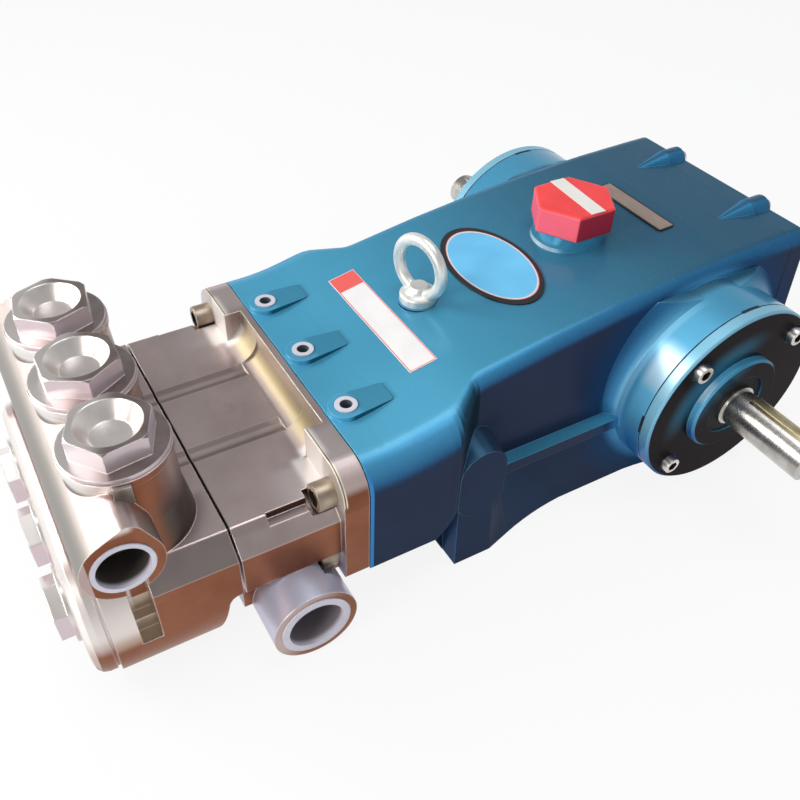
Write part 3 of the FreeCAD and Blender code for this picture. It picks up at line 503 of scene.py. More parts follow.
# roughness, noises, fine grain, and how much of the metal goes where the plating is white
nickelGloss = {
    "rough": 0.26, "roughCloud": 0.12, "roughStreak": 0.06, "roughWindow": 0.22, "roughBoss": 0.15,
    "grain": (1400, 2.0, 0.6), "cloud": (13, 5.0, 0.6), "streak": (60, 3.0, 0.55, (0.15, 1, 1)),
    "stain": (24, 6.0, 0.7), "grainDepth": 0.00007, "grainStrength": 0.35, "grainStreak": 0.3, "levelGroove": 0.65,
    "wornEdge": 0.0018, "roundEdge": 0.0013, "offTube": 0.4, "offSide": 0.3, "offLight": 0.4,
}


def satinNickel():
    # plated casting: warm grey above, with painted light brighter on faces to the front and painted brown reflections
    # on the upright ends
    tone, share, at, gloss = nickelSet, nickelShare, nickelAt, nickelGloss
    s = Shader("satinNickel")
    x, y, z = s.axes(s.place())
    nx, ny, nz = s.facing()
    outward = nx * x.maths("SIGN")
    grain, cloud, streak = [s.noise(*gloss[key]) for key in ("grain", "cloud", "streak")]
    colour = s.mix(cloud.ramp(0.30, 0.75), tone["top"], tone["topLight"])
    stain = s.noise(*gloss["stain"]).ramp(0.58, 0.78)
    colour = s.mix(stain * share["stain"], colour, tone["stain"])

    # painted light on faces to the front, with a painted brown reflection low down: cream and white on the flange,
    # darker on its flat front face, darkened on the port bosses
    front = s.mix(z.ramp(*at["frontZ"]), tone["front"], tone["frontLow"])
    flange = s.mix(abs(x).ramp(*at["creamX"]), tone["cream"], tone["pocket"])
    flange = s.mix((-ny).ramp(0.90, 0.99) * share["flangeFace"], flange, tone["flangeFace"])
    bright = s.mix(y.ramp(*at["flangeY"]), front, flange)
    high = z.ramp(*at["highZ"]) * y.ramp(*at["highY"])
    boss = y.ramp(*at["portBossY"]) * z.ramp(*at["portBossZ"]) * (1 - high)
    bright = s.mix(boss * share["portBoss"], bright, tone["portBoss"])
    colour = s.mix((-ny).ramp(0.15, 0.75) * nz.ramp(-0.25, 0.1), colour, bright)
    # painted highlight: white on the pocket faces beside the flange
    side = between(abs(x), *at["sideX"]) * y.ramp(*at["sideY"]) * z.ramp(*at["sideZ"])
    side = side * (-ny).ramp(0.02, 0.35) * (-ny).ramp(0.99, 0.93)
    colour = s.mix(side * share["side"], colour, tone["pocket"])

    # the shallow grooves across the block's top, with painted shade on their walls, darker on the walls facing -X
    groove = abs(nx).ramp(0.03, 0.22) * nz.ramp(0.5, 0.8) * abs(x).ramp(*at["grooveX"]) * z.ramp(*at["grooveZ"])
    bed = s.mix(nx.ramp(-0.05, 0.05), tone["grooveNear"], tone["grooveFar"])
    colour = s.mix(groove * share["groove"], colour, bed)

    # bluish inlet tubes with painted light, lighter on top; painted brown reflections on the ends and undersides
    tube = z.ramp(*at["tubeZ"]) * y.ramp(*at["inletY"]) * (1 - abs(nx).ramp(0.5, 0.9))
    tubeTone = s.mix(nz.ramp(-0.1, 0.8), tone["tubeLow"], tone["tube"])
    colour = s.mix(tube * nz.ramp(-0.9, -0.1), colour, tubeTone)
    under = nz.ramp(-0.10, -0.40) * (1 - tube)
    nose = y.ramp(*at["noseY"]) * z.ramp(*at["noseZ"])
    brown = (outward.ramp(0.62, 0.93) * nz.ramp(0.60, 0.30) * (1 - nose * share["brownOffNose"])).most(under)
    inletEnd = abs(x).ramp(*at["inletEndX"]) * y.ramp(*at["inletY"]) * z.ramp(*at["inletEndZ"])
    back, down = at["lowSideAim"]
    lowSide = (y * back - z * down).ramp(*at["lowSide"])
    end = s.mix(cloud.ramp(0.35, 0.7), tone["end"], tone["endLight"])
    colour = s.mix(brown * (1 - inletEnd * (1 - lowSide) * share["brownOffInlet"]), colour, end)

    # painted light on the notch in the discharge block's end and on the plate in front of it
    notch = abs(x).ramp(*at["notchOutX"]) * abs(x).ramp(*at["notchInX"]) * between(y, *at["notchY"])
    shelf = notch * between(z, *at["notchZ"])
    plate = between(y, *at["plateY"]) * between(z, *at["plateZ"]) * abs(x).ramp(*at["plateX"])
    colour = s.mix(shelf.most(plate * share["plate"]), colour, tone["notch"])

    # shade behind the towers, round their feet and along the chamfers
    tower = z.ramp(*at["towerZ"]) * y.ramp(*at["towerY"]) * nz.ramp(0.8, 0.5)
    behind = (ny - abs(nx) * 0.35).ramp(-0.28, 0.18) * z.ramp(*at["behindZ"], share["towerTop"], 1.0)
    fromTower = ((abs(x) - cylinderPitch) ** 2 + (y - towerY) ** 2) ** 0.5
    contact = fromTower.ramp(*at["contactReach"]) * nz.ramp(0.9, 0.98)
    contact = contact * between(z, *at["contactZ"]) * abs(x).ramp(*at["contactX"])
    colour = s.mix((tower * behind).most(contact * share["contact"]) * share["tower"], colour, tone["shade"])
    chamfer = between(outward, 0.30, 0.80, 0.10) * between(nz, 0.40, 0.93, 0.04)
    colour = s.mix(chamfer * between(y, *at["chamferY"]) * share["chamfer"], colour, tone["shade"])

    # light on the port tubes and beside the flange screws
    snout = y.ramp(*at["snoutY"]) * between(z, *at["snoutZ"]) * outward.ramp(0.2, 0.5)
    colour = s.mix(snout.most(high * nz.ramp(0.9, 0.5)) * share["snout"], colour, tone["snout"])
    nearScrew = between(abs(x), *at["screwX"]) * y.ramp(*at["screwY"]) * nz.ramp(0.9, 0.98) * z.ramp(*at["screwZ"])
    colour = s.mix(nearScrew * share["screw"], colour, tone["pocket"])
    gleam = between(abs(x), *at["gleamX"]) * between(y, *at["gleamY"]) * z.ramp(*at["gleamZ"])
    colour = s.mix(gleam * share["gleam"], colour, tone["snout"])

    # the flange's stepped lip, painted as two highlight lines with a line of painted shade between, and painted shade
    # on the slot walls below it
    lip = z.ramp(*at["lipZ"]) * (-ny).ramp(0.6, 0.3) * abs(x).ramp(*at["lipX"])
    bead = between(y, *at["beadFrontY"]) + between(y, *at["beadBackY"])
    colour = s.mix(lip * bead * share["bead"], colour, tone["bead"])
    colour = s.mix(lip * between(y, *at["beadLineY"]) * share["beadLine"], colour, tone["shade"])
    slotWall = outward.ramp(0.62, 0.93) * abs(x).ramp(*at["slotX"]) * z.ramp(*at["slotZ"]) * between(y, *at["slotY"])
    colour = s.mix(slotWall * share["slot"], colour, tone["slot"])
    # painted highlights along all edges
    colour = s.mix(s.highlitEdges(gloss["wornEdge"]) * share["edge"], colour, tone["edge"])

    window = y.ramp(*at["sideY"]) * z.ramp(*at["windowZ"]) * nz.ramp(0.995, 0.97)
    rough = cloud * gloss["roughCloud"] + streak * gloss["roughStreak"] + gloss["rough"]
    rough = rough + window * gloss["roughWindow"] + boss * gloss["roughBoss"]
    level = s.mix(groove * gloss["levelGroove"], s.edges(gloss["roundEdge"]), (0, 0, 1))
    height = s.bump(grain + streak * gloss["grainStreak"], gloss["grainDepth"], gloss["grainStrength"], level)
    white = (tube * gloss["offTube"]).most(side * gloss["offSide"]).most(snout.most(gleam) * gloss["offLight"])
    return s.set(Base_Color=colour, Metallic=1 - white, Roughness=rough, Normal=height)


plugSet = {
    "outer": ((0.31, 0.255, 0.245), (0.41, 0.345, 0.33)),
    "pit": ((0.84, 0.78, 0.75), (0.95, 0.90, 0.88)),
    "pitRadius": (0.0246, 0.0240),
    "lit": (0.90, 0.85, 0.82),
    "litAhead": (-0.004, 0.016),
    "flats": ((0.90, 0.84, 0.88), (0.66, 0.56, 0.60)),
    "rough": 0.24,
    "wornEdge": 0.0012,
    "roundEdge": 0.0014,
}


def plugNickel(values):
    # machined plugs with painted light: bright in the recess and on the rim's front, lilac grey flats lighter toward
    # -X, painted highlights on the edges
    s = Shader("plugNickel")
    x, y = s.axes(s.place())[:2]
    nx, ny, nz = s.facing()
    turned = s.noise(240, 2.0, 0.5)
    cloud = s.noise(40, 4.0, 0.6)
    beside = fromCylinder(x)
    ahead = y - towerY
    pit = ((beside * beside + ahead * ahead) ** 0.5).ramp(*values["pitRadius"])
    outer = s.mottle(cloud, values["outer"])
    outer = s.mix((beside * -0.4 - ahead).ramp(*values["litAhead"]), outer, values["lit"])
    top = s.mix(pit, outer, s.mottle(cloud, values["pit"]))
    flat = s.mix(nx.ramp(0.0, 0.9), *values["flats"])
    upward = nz.ramp(0.1, 0.6)
    colour = s.mix(upward, flat, top)
    colour = s.mix(s.highlitEdges(values["wornEdge"]) * 0.6, colour, nickelSet["edge"])
    height = s.bump(turned, 0.00005, 0.35, s.edges(values["roundEdge"]))
    rough = cloud * 0.12 + values["rough"]
    return s.set(Base_Color=colour, Metallic=upward * 0.4 + 0.6, Roughness=rough, Normal=height)


def plainMetal(name, tones, rough, grain, stretch=(1, 1, 1), metallic=1.0):
    s = Shader(name, Metallic=metallic)
    cloud = s.noise(45, 4.0, 0.6)
    scratch = s.noise(grain, 2.0, 0.6, stretch)
    height = s.bump(scratch, 0.00005, 0.4, s.edges(fineEdge))
    return s.set(Base_Color=s.mottle(cloud, tones), Roughness=scratch * 0.12 + rough, Normal=height)


def plainPlastic(name, tones, rough, coat=0.0, gloss=0.5):
    s = Shader(name, Metallic=0.0, Coat_Roughness=0.15, Specular_IOR_Level=gloss)
    cloud = s.noise(30, 4.0, 0.55)
    grain = s.noise(700, 2.0, 0.6)
    height = s.bump(grain, 0.00006, 0.4, s.edges(fineEdge))
    return s.set(Base_Color=s.mottle(cloud, tones), Roughness=cloud * 0.12 + rough,
                 Coat_Weight=grain * 0.05 + coat, Normal=height)


portSet = {
    "tones": ((0.66, 0.63, 0.74), (0.78, 0.76, 0.85)),
    "bores": ((0.085, 0.070, 0.062), (0.26, 0.225, 0.245)),
    "ringX": (0.1500, 0.1740),
    "betweenY": (-0.42, -0.40),
    "frontY": (-0.27, -0.28),
    "fade": (0.0005, 0.006),
    "insert": (0.42, 0.42, 0.44),
    "insertY": (-0.275, -0.270),
    "hole": (0.10, 0.12, 0.15),
    "holeRadius": (0.0056, 0.0050),
}


def portPlastic(values):
    # lilac white rings with painted shade deeper in their bores, and the greyer inserts of the deck with painted shade
    # in their holes
    s = Shader("portPlastic")
    x, y = s.axes(s.place())[:2]
    nx = s.facing()[0]
    cloud = s.noise(30, 4.0, 0.55)
    colour = s.mottle(cloud, values["tones"])
    bore = abs(nx).ramp(0.9, 0.5) * y.ramp(*values["frontY"])
    depth = s.mix(y.ramp(*values["betweenY"]), *values["bores"])
    ring = y.ramp(*values["betweenY"], *values["ringX"])
    colour = s.mix(bore * (ring - abs(x)).ramp(*values["fade"]), colour, depth)
    beside = fromCylinder(x)
    ahead = y - plugBossY
    hole = (beside * beside + ahead * ahead) ** 0.5
    insert = y.ramp(*values["insertY"])
    colour = s.mix(insert * 0.5, colour, values["insert"])
    colour = s.mix(insert * hole.ramp(*values["holeRadius"]), colour, values["hole"])
    height = s.bump(cloud, 0.0001, 0.3, s.edges(0.0008))
    return s.set(Base_Color=colour, Roughness=cloud * 0.1 + 0.32, Normal=height)


capSet = {
    "tones": ((0.80, 0.036, 0.040), (0.92, 0.050, 0.052)),
    "front": (1.0, 0.125, 0.185),
    "near": (0.42, 0.010, 0.036),
    "edge": (1.0, 0.36, 0.42),
    "wornEdge": 0.0018,
    "roundEdge": 0.0022,
}


def redPlastic(values):
    # moulded cap with painted light: pinker where it faces the front, painted shade in deep crimson on its near sides,
    # painted highlights on its edges
    s = Shader("redPlastic", Coat_Roughness=0.2, Coat_Weight=0.15)
    nx, ny, nz = s.facing()
    cloud = s.noise(30, 4.0, 0.55)
    colour = s.mottle(cloud, values["tones"])
    upright = nz.ramp(0.5, 0.1)
    colour = s.mix((-ny).ramp(0.2, 0.8) * upright, colour, values["front"])
    colour = s.mix((nx + ny * 0.4).ramp(0.35, 0.8) * upright, colour, values["near"])
    colour = s.mix(s.highlitEdges(values["wornEdge"]) * 0.7, colour, values["edge"])
    height = s.bump(cloud, 0.0002, 0.3, s.edges(values["roundEdge"]))
    return s.set(Base_Color=colour, Roughness=cloud * 0.1 + 0.32, Normal=height)


neckSet = {
    "tones": ((0.05, 0.30, 0.48), (0.10, 0.42, 0.62)),
    "ring": (0.85, 0.98, 1.0),
    "ringLow": 0.0035,
    "ringHigh": 0.0062,
    "ringSoft": 0.0015,
    "rough": 0.14,
}


def neckEnamel(values):
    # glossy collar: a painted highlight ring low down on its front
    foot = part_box("filler_neck")[0].z
    s = Shader("neckEnamel", Metallic=0.5, Coat_Roughness=0.08, Coat_Weight=0.8)
    z = s.axes(s.place())[2]
    nx, ny = s.facing()[:2]
    cloud = s.noise(45, 4.0, 0.6)
    ring = between(z, foot + values["ringLow"], foot + values["ringHigh"], values["ringSoft"])
    ring = ring * (nx * -0.3 - ny).ramp(0.4, 1.0)
    colour = s.mix(ring * 0.9, s.mottle(cloud, values["tones"]), values["ring"])
    height = s.bump(cloud, 0.0001, 0.3, s.edges(0.0012))
    return s.set(Base_Color=colour, Roughness=cloud * 0.08 + values["rough"], Normal=height)


badgeSet = {
    "centre": -0.0558,
    "halfLength": 0.0655,
    "halfWidth": 0.0347,
    "field": ((0.115, 0.44, 0.74), (0.150, 0.53, 0.82)),
    "rings": (((0.855, 0.865), (0.72, 0.62, 0.60)), ((0.885, 0.895), (0.40, 0.10, 0.11)),
              ((0.900, 0.908), (0.012, 0.010, 0.012))),
}


def ovalPrint(values):
    # printed oval: black rim, thin cream and red lines, plain light blue field
    s = Shader("ovalPrint", Coat_Weight=0.3, Coat_Roughness=0.12)
    x, y = s.axes(s.place())[:2]
    across = (y - values["centre"]) / values["halfWidth"]
    along = x / values["halfLength"]
    reach = (along * along + across * across) ** 0.5
    cloud = s.noise(25, 3.0)
    colour = s.mix(cloud.ramp(0.2, 0.8), *values["field"])
    for limits, ring in values["rings"]:
        colour = s.mix(reach.ramp(*limits), colour, ring)
    height = s.bump(reach.ramp(0.885, 0.905), 0.0004, 0.6)
    return s.set(Base_Color=colour, Roughness=cloud * 0.1 + 0.25, Normal=height)


stripSet = {
    "centre": 0.1080,
    "halfLength": 0.0465,
    "halfWidth": 0.0094,
    "rim": (0.0013, 0.0019),
    "black": (0.012, 0.011, 0.012),
    "tones": ((0.36, 0.27, 0.22), (0.48, 0.38, 0.33)),
}


def fromEdge(s, values):
    # distance inwards from the nearest edge of a flat plate on the deck
    x, y = s.axes(s.place())[:2]
    inX = values["halfLength"] - abs(x)
    inY = values["halfWidth"] - abs(y - values["centre"])
    return inX.least(inY)


def stripPrint(values):
    # brushed bronze strip inside a black rim
    s = Shader("stripPrint")
    field = fromEdge(s, values).ramp(*values["rim"])
    brush = s.noise(500, 2.0, 0.6, (0.1, 2, 1))
    colour = s.mix(field, values["black"], s.mottle(brush, values["tones"]))
    height = s.bump(brush * field, 0.00004, 0.5)
    return s.set(Base_Color=colour, Metallic=field * 0.6, Roughness=brush * 0.1 + 0.32, Normal=height)


labelSet = {
    "centre": -0.1713,
    "halfLength": 0.0750,
    "halfWidth": 0.0131,
    "lineStart": (0.0004, 0.0007),
    "lineEnd": (0.0016, 0.0012),
    "redEndX": (-0.0520, -0.0524),
    "tones": ((0.71, 0.69, 0.69), (0.77, 0.75, 0.75)),
    "red": (0.72, 0.10, 0.09),
}


def labelPrint(values):
    # blank white film with a thin red edge line and a plain red end
    s = Shader("labelPrint", Coat_Weight=0.15, Coat_Roughness=0.2)
    x = s.axes(s.place())[0]
    inward = fromEdge(s, values)
    start = inward.ramp(*values["lineStart"])
    line = start * inward.ramp(*values["lineEnd"])
    end = x.ramp(*values["redEndX"]) * start
    cloud = s.noise(40, 3.0)
    colour = s.mix(line.most(end), s.mottle(cloud, values["tones"]), values["red"])
    height = s.bump(cloud, 0.0001, 0.3)
    return s.set(Base_Color=colour, Roughness=cloud * 0.1 + 0.38, Normal=height)


metalSet = {
    "zincSteel": {"tones": ((0.60, 0.57, 0.56), (0.78, 0.74, 0.73)), "rough": 0.28, "grain": 260},
    "screwSteel": {"tones": ((0.33, 0.265, 0.200), (0.48, 0.400, 0.310)), "rough": 0.36, "grain": 320},
    "shaftSteel": {"tones": ((0.42, 0.40, 0.38), (0.66, 0.64, 0.60)), "rough": 0.2, "grain": 500,
                   "stretch": (3, 0.4, 0.4)},
    "eyeSteel": {"tones": ((0.72, 0.73, 0.70), (0.90, 0.91, 0.88)), "rough": 0.34, "grain": 300, "metallic": 0.75},
    "tabNickel": {"tones": ((0.20, 0.17, 0.15), (0.34, 0.29, 0.26)), "rough": 0.3, "grain": 400},
    "keyBrass": {"tones": ((0.60, 0.50, 0.30), (0.82, 0.74, 0.52)), "rough": 0.25, "grain": 400},
}

plasticSet = {
    "blackRubber": {"tones": ((0.010, 0.010, 0.011), (0.026, 0.026, 0.028)), "rough": 0.6, "gloss": 0.1},
    "gasketPaper": {"tones": ((0.03, 0.04, 0.06), (0.07, 0.08, 0.10)), "rough": 0.6},
    "amberGlass": {"tones": ((0.30, 0.20, 0.05), (0.42, 0.30, 0.08)), "rough": 0.08, "coat": 0.6},
    "socketBlack": {"tones": ((0.006, 0.006, 0.006), (0.014, 0.013, 0.012)), "rough": 0.5},
    "slotDark": {"tones": ((0.002, 0.006, 0.018), (0.006, 0.014, 0.035)), "rough": 0.5},
    "stripPaper": {"tones": ((0.74, 0.71, 0.66), (0.80, 0.78, 0.74)), "rough": 0.4},
}

plain = {name: plainMetal(name, **values) for name, values in metalSet.items()}
plain.update({name: plainPlastic(name, **values) for name, values in plasticSet.items()})
finishes = {
    "case_enamel": caseEnamel("caseEnamel"),
    "neck_blue": neckEnamel(neckSet),
    "satin_nickel": satinNickel(),
    "zinc_steel": plain["zincSteel"],
    "screw_steel": plain["screwSteel"],
    "shaft_steel": plain["shaftSteel"],
    "black_rubber": plain["blackRubber"],
    "gasket_paper": plain["gasketPaper"],
    "port_plastic": portPlastic(portSet),
    "red_plastic": redPlastic(capSet),
    "badge_blue": ovalPrint(badgeSet),
    "bronze_foil": stripPrint(stripSet),
    "label_white": labelPrint(labelSet),
    "sight_glass": plain["amberGlass"],
}
coverEnamel = caseEnamel("coverEnamel", True)
plugMetal = plugNickel(plugSet)
print("materials made:", len(bpy.data.materials))

# nodes with a finish of their own in place of their slot's
ownFinish = {"bearing_cover_right": coverEnamel, "bearing_cover_left": coverEnamel,
             "rear_cover_gasket": finishes["case_enamel"]}
ownFinish.update({kind + number: plugMetal for kind in ("valve_plug_", "low_plug_") for number in "123"})
for part in frame["record"]["subparts"]:
    item = nodes[part["node"]]
    item.data.materials.clear()
    item.data.materials.append(ownFinish.get(part["node"], finishes[part["material_slot"]]))
print("materials given to every node")


# New pieces

def addPiece(name, mesh, body, materials, replaced=(), smoothUpTo=35):
    bmesh.ops.remove_doubles(mesh, verts=mesh.verts, dist=1e-6)
    bmesh.ops.recalc_face_normals(mesh, faces=mesh.faces)
    data = bpy.data.meshes.new(name)
    mesh.to_mesh(data)
    mesh.free()
    data.shade_smooth()
    data.set_sharp_from_angle(angle=math.radians(smoothUpTo))
    for material in materials:
        data.materials.append(material)
    item = bpy.data.objects.new(name, data)
    scene.collection.objects.link(item)
    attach(item, body)
    if replaced:
        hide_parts(*replaced)


def turn(mesh, verts, degrees, axis):
    bmesh.ops.rotate(mesh, verts=verts, matrix=Matrix.Rotation(math.radians(degrees), 3, axis))


def bevel(mesh, edges, offset, segments):
    bmesh.ops.bevel(mesh, geom=edges, offset=offset, offset_type="OFFSET", segments=segments, profile=0.5,
                    affect="EDGES", material=-1)


def spin(mesh, geom, centre, axis, degrees, steps):
    bmesh.ops.spin(mesh, geom=geom, cent=centre, axis=axis, dvec=(0, 0, 0), angle=math.radians(degrees),
                   steps=steps, use_merge=degrees == 360, use_duplicate=False)


def lathe(mesh, profile, steps):
    # turns an outline of (radius, height) points about Z
    corners = [mesh.verts.new((radius, 0, height)) for radius, height in profile]
    sides = [mesh.edges.new(pair) for pair in zip(corners, corners[1:])]
    spin(mesh, corners + sides, (0, 0, 0), (0, 0, 1), 360, steps)
    bmesh.ops.remove_doubles(mesh, verts=mesh.verts, dist=1e-7)


eyeSet = {
    "ringRadius": 0.0254,
    "rodRadius": 0.0054,
    "ringSteps": 72,
    "rodSides": 24,
    "turn": 14.0,
    "collar": [(0.0, 0.0), (0.0165, 0.0), (0.0170, 0.0006), (0.0170, 0.0068), (0.0160, 0.0080), (0.0148, 0.0083),
               (0.0118, 0.0098), (0.0094, 0.0122), (0.0080, 0.0150), (0.0, 0.0155)],
    "collarSteps": 48,
}


def addEyebolt(values):
    low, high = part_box("eyebolt")
    foot = Vector(((low.x + high.x) / 2, (low.y + high.y) / 2, low.z))
    mesh = bmesh.new()
    rod = bmesh.ops.create_circle(mesh, cap_ends=False, segments=values["rodSides"], radius=values["rodRadius"])
    bmesh.ops.translate(mesh, verts=rod["verts"], vec=(values["ringRadius"], 0, 0))
    spin(mesh, rod["verts"] + list(mesh.edges), (0, 0, 0), (0, 1, 0), 360, values["ringSteps"])
    rise = high.z - low.z - values["ringRadius"] - values["rodRadius"]
    bmesh.ops.translate(mesh, verts=mesh.verts, vec=(0, 0, rise))
    lathe(mesh, values["collar"], values["collarSteps"])
    turn(mesh, mesh.verts, values["turn"], "Z")
    bmesh.ops.translate(mesh, verts=mesh.verts, vec=foot)
    addPiece("liftingEye", mesh, "pump", [plain["eyeSteel"]], ["eyebolt"])


prySet = {
    "angles": (0, 90, 180, 270),
    "half": 6.0,
    "steps": 8,
    "joint": 0.1640,
    "width": 0.0030,
    "radius": 0.0932,
    "sunk": 0.0012,
    "proud": 0.0002,
}


def addPrySlots(values):
    # painted shade for the pry slots in the rims of both bearing housings: dark inlays a hair proud of the enamel
    mesh = bmesh.new()
    middle = Vector((0, shaftLine[1], shaftLine[2]))
    thick = values["sunk"] + values["proud"]
    outer = values["radius"] + values["proud"]
    for side in (1, -1):
        for angle in values["angles"]:
            made = bmesh.ops.create_grid(mesh, x_segments=1, y_segments=1, size=0.5)["verts"]
            bmesh.ops.scale(mesh, verts=made, vec=(values["width"], thick, 1))
            bmesh.ops.translate(mesh, verts=made, vec=(side * values["joint"], outer - thick / 2, 0))
            turn(mesh, made, angle - values["half"], "X")
            bmesh.ops.translate(mesh, verts=made, vec=middle)
            face = made[0].link_faces[0]
            spin(mesh, made + list(face.edges) + [face], middle, (1, 0, 0), values["half"] * 2, values["steps"])
    addPiece("prySlots", mesh, "pump", [plain["slotDark"]])


tabSet = {
    "angle": 10.0,
    "inner": 0.0370,
    "outer": 0.0450,
    "wide": 0.0135,
    "low": 0.1960,
    "high": 0.2114,
    "edge": 0.0009,
}


def addTowerTabs(values):
    # cast tabs under the plug rims, on the outer sides of the two outer towers
    mesh = bmesh.new()
    size = (values["outer"] - values["inner"], values["wide"], values["high"] - values["low"])
    place = ((values["outer"] + values["inner"]) / 2, 0, (values["high"] + values["low"]) / 2)
    for side in (1, -1):
        made = bmesh.ops.create_cube(mesh, size=1)["verts"]
        bmesh.ops.scale(mesh, verts=made, vec=size)
        bmesh.ops.translate(mesh, verts=made, vec=place)
        turn(mesh, made, -values["angle"] if side > 0 else 180 + values["angle"], "Z")
        bmesh.ops.translate(mesh, verts=made, vec=(side * cylinderPitch, towerY, 0))
    bevel(mesh, list(mesh.edges), values["edge"], 2)
    addPiece("towerTabs", mesh, "pump", [plain["tabNickel"]])


keySet = {
    "length": 0.063,
    "width": 0.010,
    "height": 0.008,
    "fromEnd": 0.008,
    "proud": 0.003,
    "edge": 0.0006,
    "endSteps": 8,
    "shaftRadius": 0.0175,
}


def addKey(name, side, values, material):
    # round-ended key laid in the shaft's keyway
    mesh = bmesh.new()
    bmesh.ops.create_cube(mesh, size=1)
    bmesh.ops.scale(mesh, verts=mesh.verts, vec=(values["length"], values["width"], values["height"]))
    upright = [e for e in mesh.edges if abs(e.verts[0].co.z - e.verts[1].co.z) > values["height"] / 2]
    bevel(mesh, upright, values["width"] * 0.49, values["endSteps"])
    bevel(mesh, [e for e in mesh.edges if e.verts[0].co.z > 0 and e.verts[1].co.z > 0], values["edge"], 2)
    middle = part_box("crankshaft")[1].x - values["fromEnd"] - values["length"] / 2
    top = shaftLine[2] + values["shaftRadius"] + values["proud"]
    bmesh.ops.translate(mesh, verts=mesh.verts, vec=(side * middle, shaftLine[1], top - values["height"] / 2))
    addPiece(name, mesh, "crankshaft", [material])


capStripSet = {"length": 0.066, "width": 0.0150, "thick": 0.0004, "across": 0.0030, "turn": -3.5, "sunk": 0.6}


def addCapStrip(values):
    # blank paper strip stuck across the filler cap
    low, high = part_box("filler_cap")
    mesh = bmesh.new()
    bmesh.ops.create_cube(mesh, size=1)
    bmesh.ops.scale(mesh, verts=mesh.verts, vec=(values["length"], values["width"], values["thick"]))
    turn(mesh, mesh.verts, values["turn"], "Z")
    top = high.z + values["thick"] * (1 - values["sunk"])
    place = ((low.x + high.x) / 2, (low.y + high.y) / 2 + values["across"], top)
    bmesh.ops.translate(mesh, verts=mesh.verts, vec=place)
    addPiece("capStrip", mesh, "pump", [plain["stripPaper"]])


screwSet = {
    "flange_screws": {"radius": 0.0120, "height": 0.016, "flats": 0.0140, "depth": 0.008, "axis": "-Y"},
    "cover_screws_right": {"radius": 0.0080, "height": 0.010, "flats": 0.0088, "depth": 0.005, "axis": "+X"},
    "cover_screws_left": {"radius": 0.0080, "height": 0.010, "flats": 0.0088, "depth": 0.005, "axis": "-X"},
    "rear_cover_screws": {"radius": 0.0065, "height": 0.008, "flats": 0.0070, "depth": 0.004, "axis": "+Y"},
}
headSet = {"sides": 40, "rimRound": 0.10, "rimSteps": 3, "turnEach": 17, "smoothUpTo": 25}
axisTurns = {"-Y": (90, "X"), "+Y": (-90, "X"), "+X": (90, "Y"), "-X": (-90, "Y")}


def sink(mesh, edges, depth):
    # a wall down from a closed row of edges, with a floor: gives the wall's new corners and the floor
    wall = bmesh.ops.extrude_edge_only(mesh, edges=edges)["geom"]
    corners = [v for v in wall if isinstance(v, bmesh.types.BMVert)]
    bmesh.ops.translate(mesh, verts=corners, vec=(0, 0, -depth))
    floor = bmesh.ops.contextual_create(mesh, geom=[e for e in wall if isinstance(e, bmesh.types.BMEdge)])
    return corners, floor["faces"]


def edgesOf(verts):
    # the edges at these corners, each once and always in the same order
    return list(dict.fromkeys(e for v in verts for e in v.link_edges))


def screwHead(mesh, values):
    # socket head with a rounded rim, standing on Z = 0
    start = set(mesh.verts)
    rim = bmesh.ops.create_circle(mesh, cap_ends=False, segments=headSet["sides"], radius=values["radius"])["verts"]
    hexagon = bmesh.ops.create_circle(mesh, cap_ends=False, segments=6, radius=values["flats"] / math.sqrt(3))["verts"]
    rimEdges, hexEdges = edgesOf(rim), edgesOf(hexagon)
    bmesh.ops.bridge_loops(mesh, edges=rimEdges + hexEdges)
    sink(mesh, rimEdges, values["height"])
    corners, floor = sink(mesh, hexEdges, values["depth"])
    # the socket's walls and floor take the second, near-black finish: painted shade in the socket
    for face in {face for vert in corners for face in vert.link_faces} | set(floor):
        face.material_index = 1
    bevel(mesh, [e for e in rimEdges if e.is_valid], values["radius"] * headSet["rimRound"], headSet["rimSteps"])
    made = [v for v in mesh.verts if v not in start]
    bmesh.ops.translate(mesh, verts=made, vec=(0, 0, values["height"]))
    return made


def islands(node):
    # boxes of the separate solids of one node, by flooding over shared corners
    mesh = bmesh.new()
    mesh.from_mesh(nodes[node].data)
    bmesh.ops.remove_doubles(mesh, verts=mesh.verts, dist=1e-6)
    left = set(mesh.verts)
    boxes = []
    while left:
        todo = [left.pop()]
        group = []
        while todo:
            vert = todo.pop()
            group.append(vert.co.copy())
            for edge in vert.link_edges:
                other = edge.other_vert(vert)
                if other in left:
                    left.remove(other)
                    todo.append(other)
        low = Vector([min(co[i] for co in group) for i in range(3)])
        high = Vector([max(co[i] for co in group) for i in range(3)])
        boxes.append((low, high))
    mesh.free()
    return sorted(boxes, key=lambda pair: tuple(round(c, 4) for c in pair[0]))


def addScrews(node, values, slotName):
    mesh = bmesh.new()
    along = "XYZ".index(values["axis"][1])
    for index, (low, high) in enumerate(islands(node)):
        made = screwHead(mesh, values)
        turn(mesh, made, headSet["turnEach"] * index, "Z")
        turn(mesh, made, *axisTurns[values["axis"]])
        seat = (low + high) / 2
        seat[along] = low[along] if values["axis"][0] == "+" else high[along]
        bmesh.ops.translate(mesh, verts=made, vec=seat)
    name = "socket" + node.title().replace("_", "")
    materials = [finishes[slotName], plain["socketBlack"]]
    addPiece(name, mesh, "pump", materials, [node], headSet["smoothUpTo"])


addEyebolt(eyeSet)
addKey("shaftKeyRight", 1, keySet, plain["keyBrass"])
addKey("shaftKeyLeft", -1, keySet, finishes["shaft_steel"])
addCapStrip(capStripSet)
addPrySlots(prySet)
addTowerTabs(tabSet)
for node, values in screwSet.items():
    addScrews(node, values, "screw_steel" if node == "flange_screws" else "zinc_steel")
print("new pieces made")


# Floor, light and background

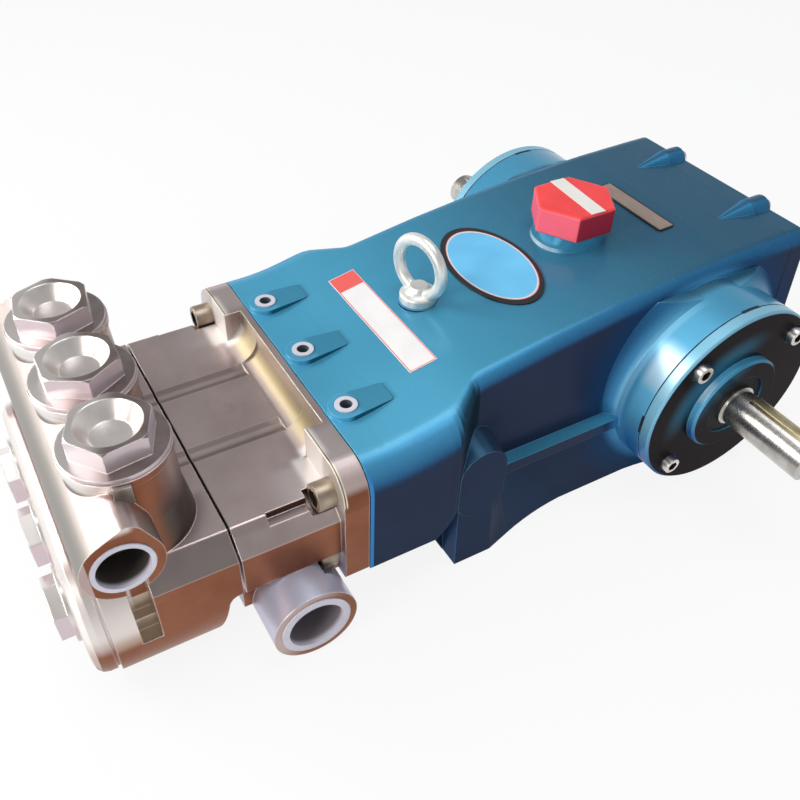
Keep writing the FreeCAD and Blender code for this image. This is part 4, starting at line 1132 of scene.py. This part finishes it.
stageSet = {
    "floorSize": 8.0,
    "floorDrop": 0.0005,
    "paper": ((0.74, 0.74, 0.75), (0.78, 0.78, 0.78)),
    "floorWhite": 0.88,
    "skyColour": (0.92, 0.96, 1.0, 1),
    "skyTone": 0.42,
    "overheadRise": (0.12, 0.55),
    "overheadTone": (0.8, 0.336),
}


def addFloor(values):
    mesh = bmesh.new()
    bmesh.ops.create_grid(mesh, x_segments=1, y_segments=1, size=values["floorSize"] / 2)
    bmesh.ops.translate(mesh, verts=mesh.verts, vec=(0, 0, -values["floorDrop"]))
    data = bpy.data.meshes.new("floor")
    mesh.to_mesh(data)
    mesh.free()
    floor = bpy.data.objects.new("floor", data)
    scene.collection.objects.link(floor)
    s = Shader("floorPaper", Roughness=0.9)
    s.set(Base_Color=s.mix(s.noise(3, 2.0), *values["paper"]))
    paper = Value(s, s.surface.outputs[0])
    glow = s.node("ShaderNodeEmission")
    shown = s.node("ShaderNodeMixShader", {}, (s.seenDirectly() * values["floorWhite"], paper, glow))
    s.plug(s.output.inputs[0], shown)
    data.materials.append(s.material)


def setWorld(values):
    # dim even light for surfaces, and a white backdrop whose reflection is grey overhead
    world = bpy.data.worlds.new("studio")
    scene.world = world
    world.use_nodes = True
    s = Nodes(world.node_tree)
    height = s.axes(s.node("ShaderNodeTexCoord", out="Generated"))[2]
    tone = s.node("ShaderNodeMapRange", {}, (height, *values["overheadRise"], *values["overheadTone"]))
    tone = tone.most(s.node("ShaderNodeLightPath", out="Is Camera Ray"))
    light = s.node("ShaderNodeBackground", {}, (values["skyColour"], values["skyTone"]))
    backdrop = s.node("ShaderNodeBackground", {}, ((1, 1, 1, 1), tone))
    shown = s.node("ShaderNodeMixShader", {}, (s.seenDirectly(), light, backdrop))
    s.node("ShaderNodeOutputWorld", {}, (shown,))


lampSet = {
    "keySoftbox": {"place": (-0.9, -1.5, 1.15), "target": (0, 0, 0.1), "size": (1.1, 0.9), "power": 25,
                   "colour": (1.0, 0.98, 0.95)},
    "sideSoftbox": {"place": (0.50, -1.55, 0.80), "target": (0.15, 0, 0.12), "size": (0.5, 0.7), "power": 10,
                    "colour": (1.0, 0.96, 0.90)},
    "topSoftbox": {"place": (0.1, 0.1, 2.1), "target": (0, 0, 0.1), "size": (1.2, 1.2), "power": 14,
                   "colour": (0.96, 0.98, 1.0)},
}


def addSoftbox(name, values):
    data = bpy.data.lights.new(name, "AREA")
    data.shape = "RECTANGLE"
    data.size, data.size_y = values["size"]
    data.energy = values["power"]
    data.color = values["colour"]
    lamp = bpy.data.objects.new(name, data)
    place = Vector(values["place"])
    aim = Vector(values["target"]) - place
    lamp.matrix_world = Matrix.Translation(place) @ aim.to_track_quat("-Z", "Y").to_matrix().to_4x4()
    scene.collection.objects.link(lamp)


addFloor(stageSet)
setWorld(stageSet)
for name, values in lampSet.items():
    addSoftbox(name, values)
print("stage, light and background set")
